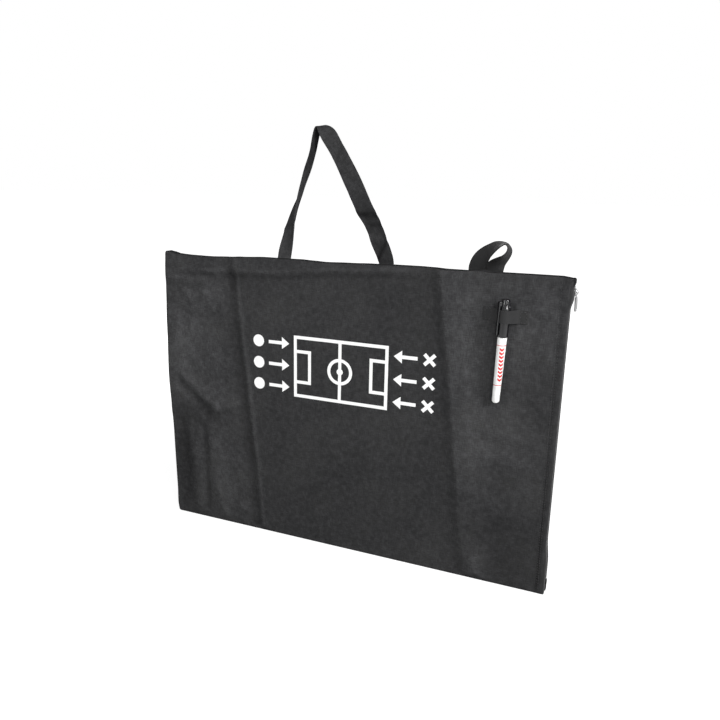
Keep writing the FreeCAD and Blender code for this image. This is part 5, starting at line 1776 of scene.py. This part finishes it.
def makePull(finish):
    low, high = boxOf("zip_pull")
    middle = (low + high) / 2
    hinge = high.z - zipPull["hingeIn"]
    thick, half, radius = zipPull["thick"] / 2, zipPull["wide"] / 2, zipPull["ring"]
    ring = addWireRing(
        radius, zipPull["ringWire"], rotation=(0, quarterTurn, 0),
        location=(middle.x * mm, middle.y * mm, (hinge - radius) * mm),
    )
    applyPlace(ring)
    top, foot = hinge - 2 * radius + zipPull["lap"], low.z + zipPull["short"]
    tongue = addBlock(
        "pullTongue", (middle.x - thick, middle.y - half, foot), (middle.x + thick, middle.y + half, top),
    )
    cutAcross(tongue, (0, 0, 1), (foot + zipPull["footCut"], top - zipPull["topCut"]))

    def tongueShare(z):    # slim at the ring, narrower at the lower end
        if z > top - zipPull["endHigh"]:
            return zipPull["topShare"]
        return zipPull["footShare"] if z < foot + zipPull["endHigh"] else 1.0

    narrowAcross(tongue, middle.y, tongueShare)
    for side in (-1, 1):
        pickParts(tongue, "polygons", lambda face: face.normal.x * side > 0.9)
        bpy.ops.mesh.inset(thickness=zipPull["panelIn"] * mm, depth=0)
        bpy.ops.mesh.inset(thickness=zipPull["panelStep"] * mm, depth=-zipPull["panelDeep"] * mm)
        leaveEdit()
    softenEdges(tongue, zipPull["edge"], 2, 40)
    hang = Vector((middle.x, middle.y, top)) * mm
    tongue.data.transform(
        Matrix.Translation(hang) @ Matrix.Rotation(math.radians(zipPull["lean"]), 4, "Y")
        @ Matrix.Rotation(math.radians(zipPull["turn"]), 4, "Z") @ Matrix.Translation(-hang)
    )
    pull = joinPieces("zipPullTag", [tongue, ring])
    smoothFaces(pull, 40)
    dress(pull, finish["chrome"], "pull", ("zip_pull",))


def makeZip(finish):
    frontLow, frontHigh = boxOf("zip_tape_front")
    rearLow, rearHigh = boxOf("zip_tape_rear")
    edge, margin, steps = frontHigh.x - zipParts["tapeIn"], frontLow.x, zipParts["sideSteps"]
    frontLine = [(edge - off, frontLow.y + deep) for off, deep in zipParts["frontRoll"]]
    frontLine.insert(0, (margin, frontLine[0][1]))
    start = frontLine[-1][1]
    frontLine += [(edge, start + (frontHigh.y - start) * step / steps) for step in range(1, steps + 1)]
    rearLine = [(edge - off, rearHigh.y - deep) for off, deep in zipParts["rearRoll"]] + [(edge, rearLow.y)]
    rearLine.insert(0, (margin, rearLine[0][1]))
    front = ("board_out", frontLow.y, zipParts["fold"])
    rear = ("zip_slide", rearHigh.y, zipParts["rearFold"])
    makeTape("zipTapeFront", "zip_tape_front", finish, frontLine, *front)
    makeTape("zipTapeRear", "zip_tape_rear", finish, rearLine, *rear)
    makeTeeth("zipTeethFront", "zip_teeth_front", finish, 0.0, *front)
    makeTeeth("zipTeethRear", "zip_teeth_rear", finish, 0.5, *rear)
    for end in ("top", "bottom"):
        makeTab(f"zip{end.title()}TabCloth", f"zip_{end}_tab", finish, *zipTab[end])
    makeSlider(finish)
    makePull(finish)
    for node in ("zip_top_stops", "zip_bottom_stop"):
        paint(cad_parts[node], finish["chrome"])
    print("zip done")


# Board: printed face, satin frame, moulded corners and rivets

board = {
    "frameEdge": 0.5, "cornerRound": 10.0, "cornerEdge": 0.7,
    "rivetRadius": 2.6, "rivetRise": 0.55, "rivetIn": 2.0,
}


def makeBoard(finish):
    for node, material in (("board_face", "board"), ("board_back", "board"), ("board_core", "core")):
        paint(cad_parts[node], finish[material])
    for side in ("top", "bottom", "left", "right"):
        low, high = boxOf(f"frame_{side}")
        bar = addBlock(f"frameBar{side.title()}", low, high)
        softenEdges(bar, board["frameEdge"], 3)
        smoothFaces(bar, 40)
        dress(bar, finish["frame"], "board", (f"frame_{side}",))
    for level in ("top", "bottom"):
        for side in ("left", "right"):
            node = f"corner_{level}_{side}"
            low, high = boxOf(node)
            tipX = low.x if side == "left" else high.x
            tipZ = low.z if level == "bottom" else high.z
            cap = addBlock(f"boardCorner{level.title()}{side.title()}", low, high)

            def atTip(edge, cap=cap, tipX=tipX, tipZ=tipZ):
                middle = edgeMiddle(cap, edge)
                return abs(middle.x - tipX) < within and abs(middle.z - tipZ) < within

            pickParts(cap, "edges", atTip)
            bpy.ops.mesh.bevel(offset=board["cornerRound"] * mm, segments=8)
            leaveEdit()
            softenEdges(cap, board["cornerEdge"], 3, 50)
            smoothFaces(cap, 35)
            dress(cap, finish["corner"], "board", (node,))
    low, high = boxOf("corner_rivets")
    inset = board["rivetIn"]
    heads = [
        rivetHead(x, y, z, side) for x in (low.x + inset, high.x - inset)
        for z in (low.z + inset, high.z - inset) for y, side in ((low.y, -1), (high.y, 1))
    ]
    rivets = joinPieces("boardRivets", heads)
    smoothFaces(rivets, 60)
    dress(rivets, finish["rivet"], "board", ("corner_rivets",))
    print("board done")


def rivetHead(x, y, z, side):    # the upper part of a flattened ball
    clearSelection()
    bpy.ops.mesh.primitive_uv_sphere_add(segments=24, ring_count=12, radius=board["rivetRadius"] * mm)
    head = bpy.context.object
    keepHalf(head, (0, side, 0))
    head.scale = (1, board["rivetRise"] / board["rivetRadius"], 1)
    head.location = (x * mm, y * mm, z * mm)
    applyPlace(head)
    return head


finish = makeMaterials()
addCamera()
addLamps()
addSurround()
print("studio done")
makeBag(finish)
makeStrip(carryStrap, finish["strap"])
makeStrip(hangLoop, finish["loop"])
makeSeams(finish)
makePenLoop(finish)
makeMarker(finish)
makeZip(finish)
makeBoard(finish)
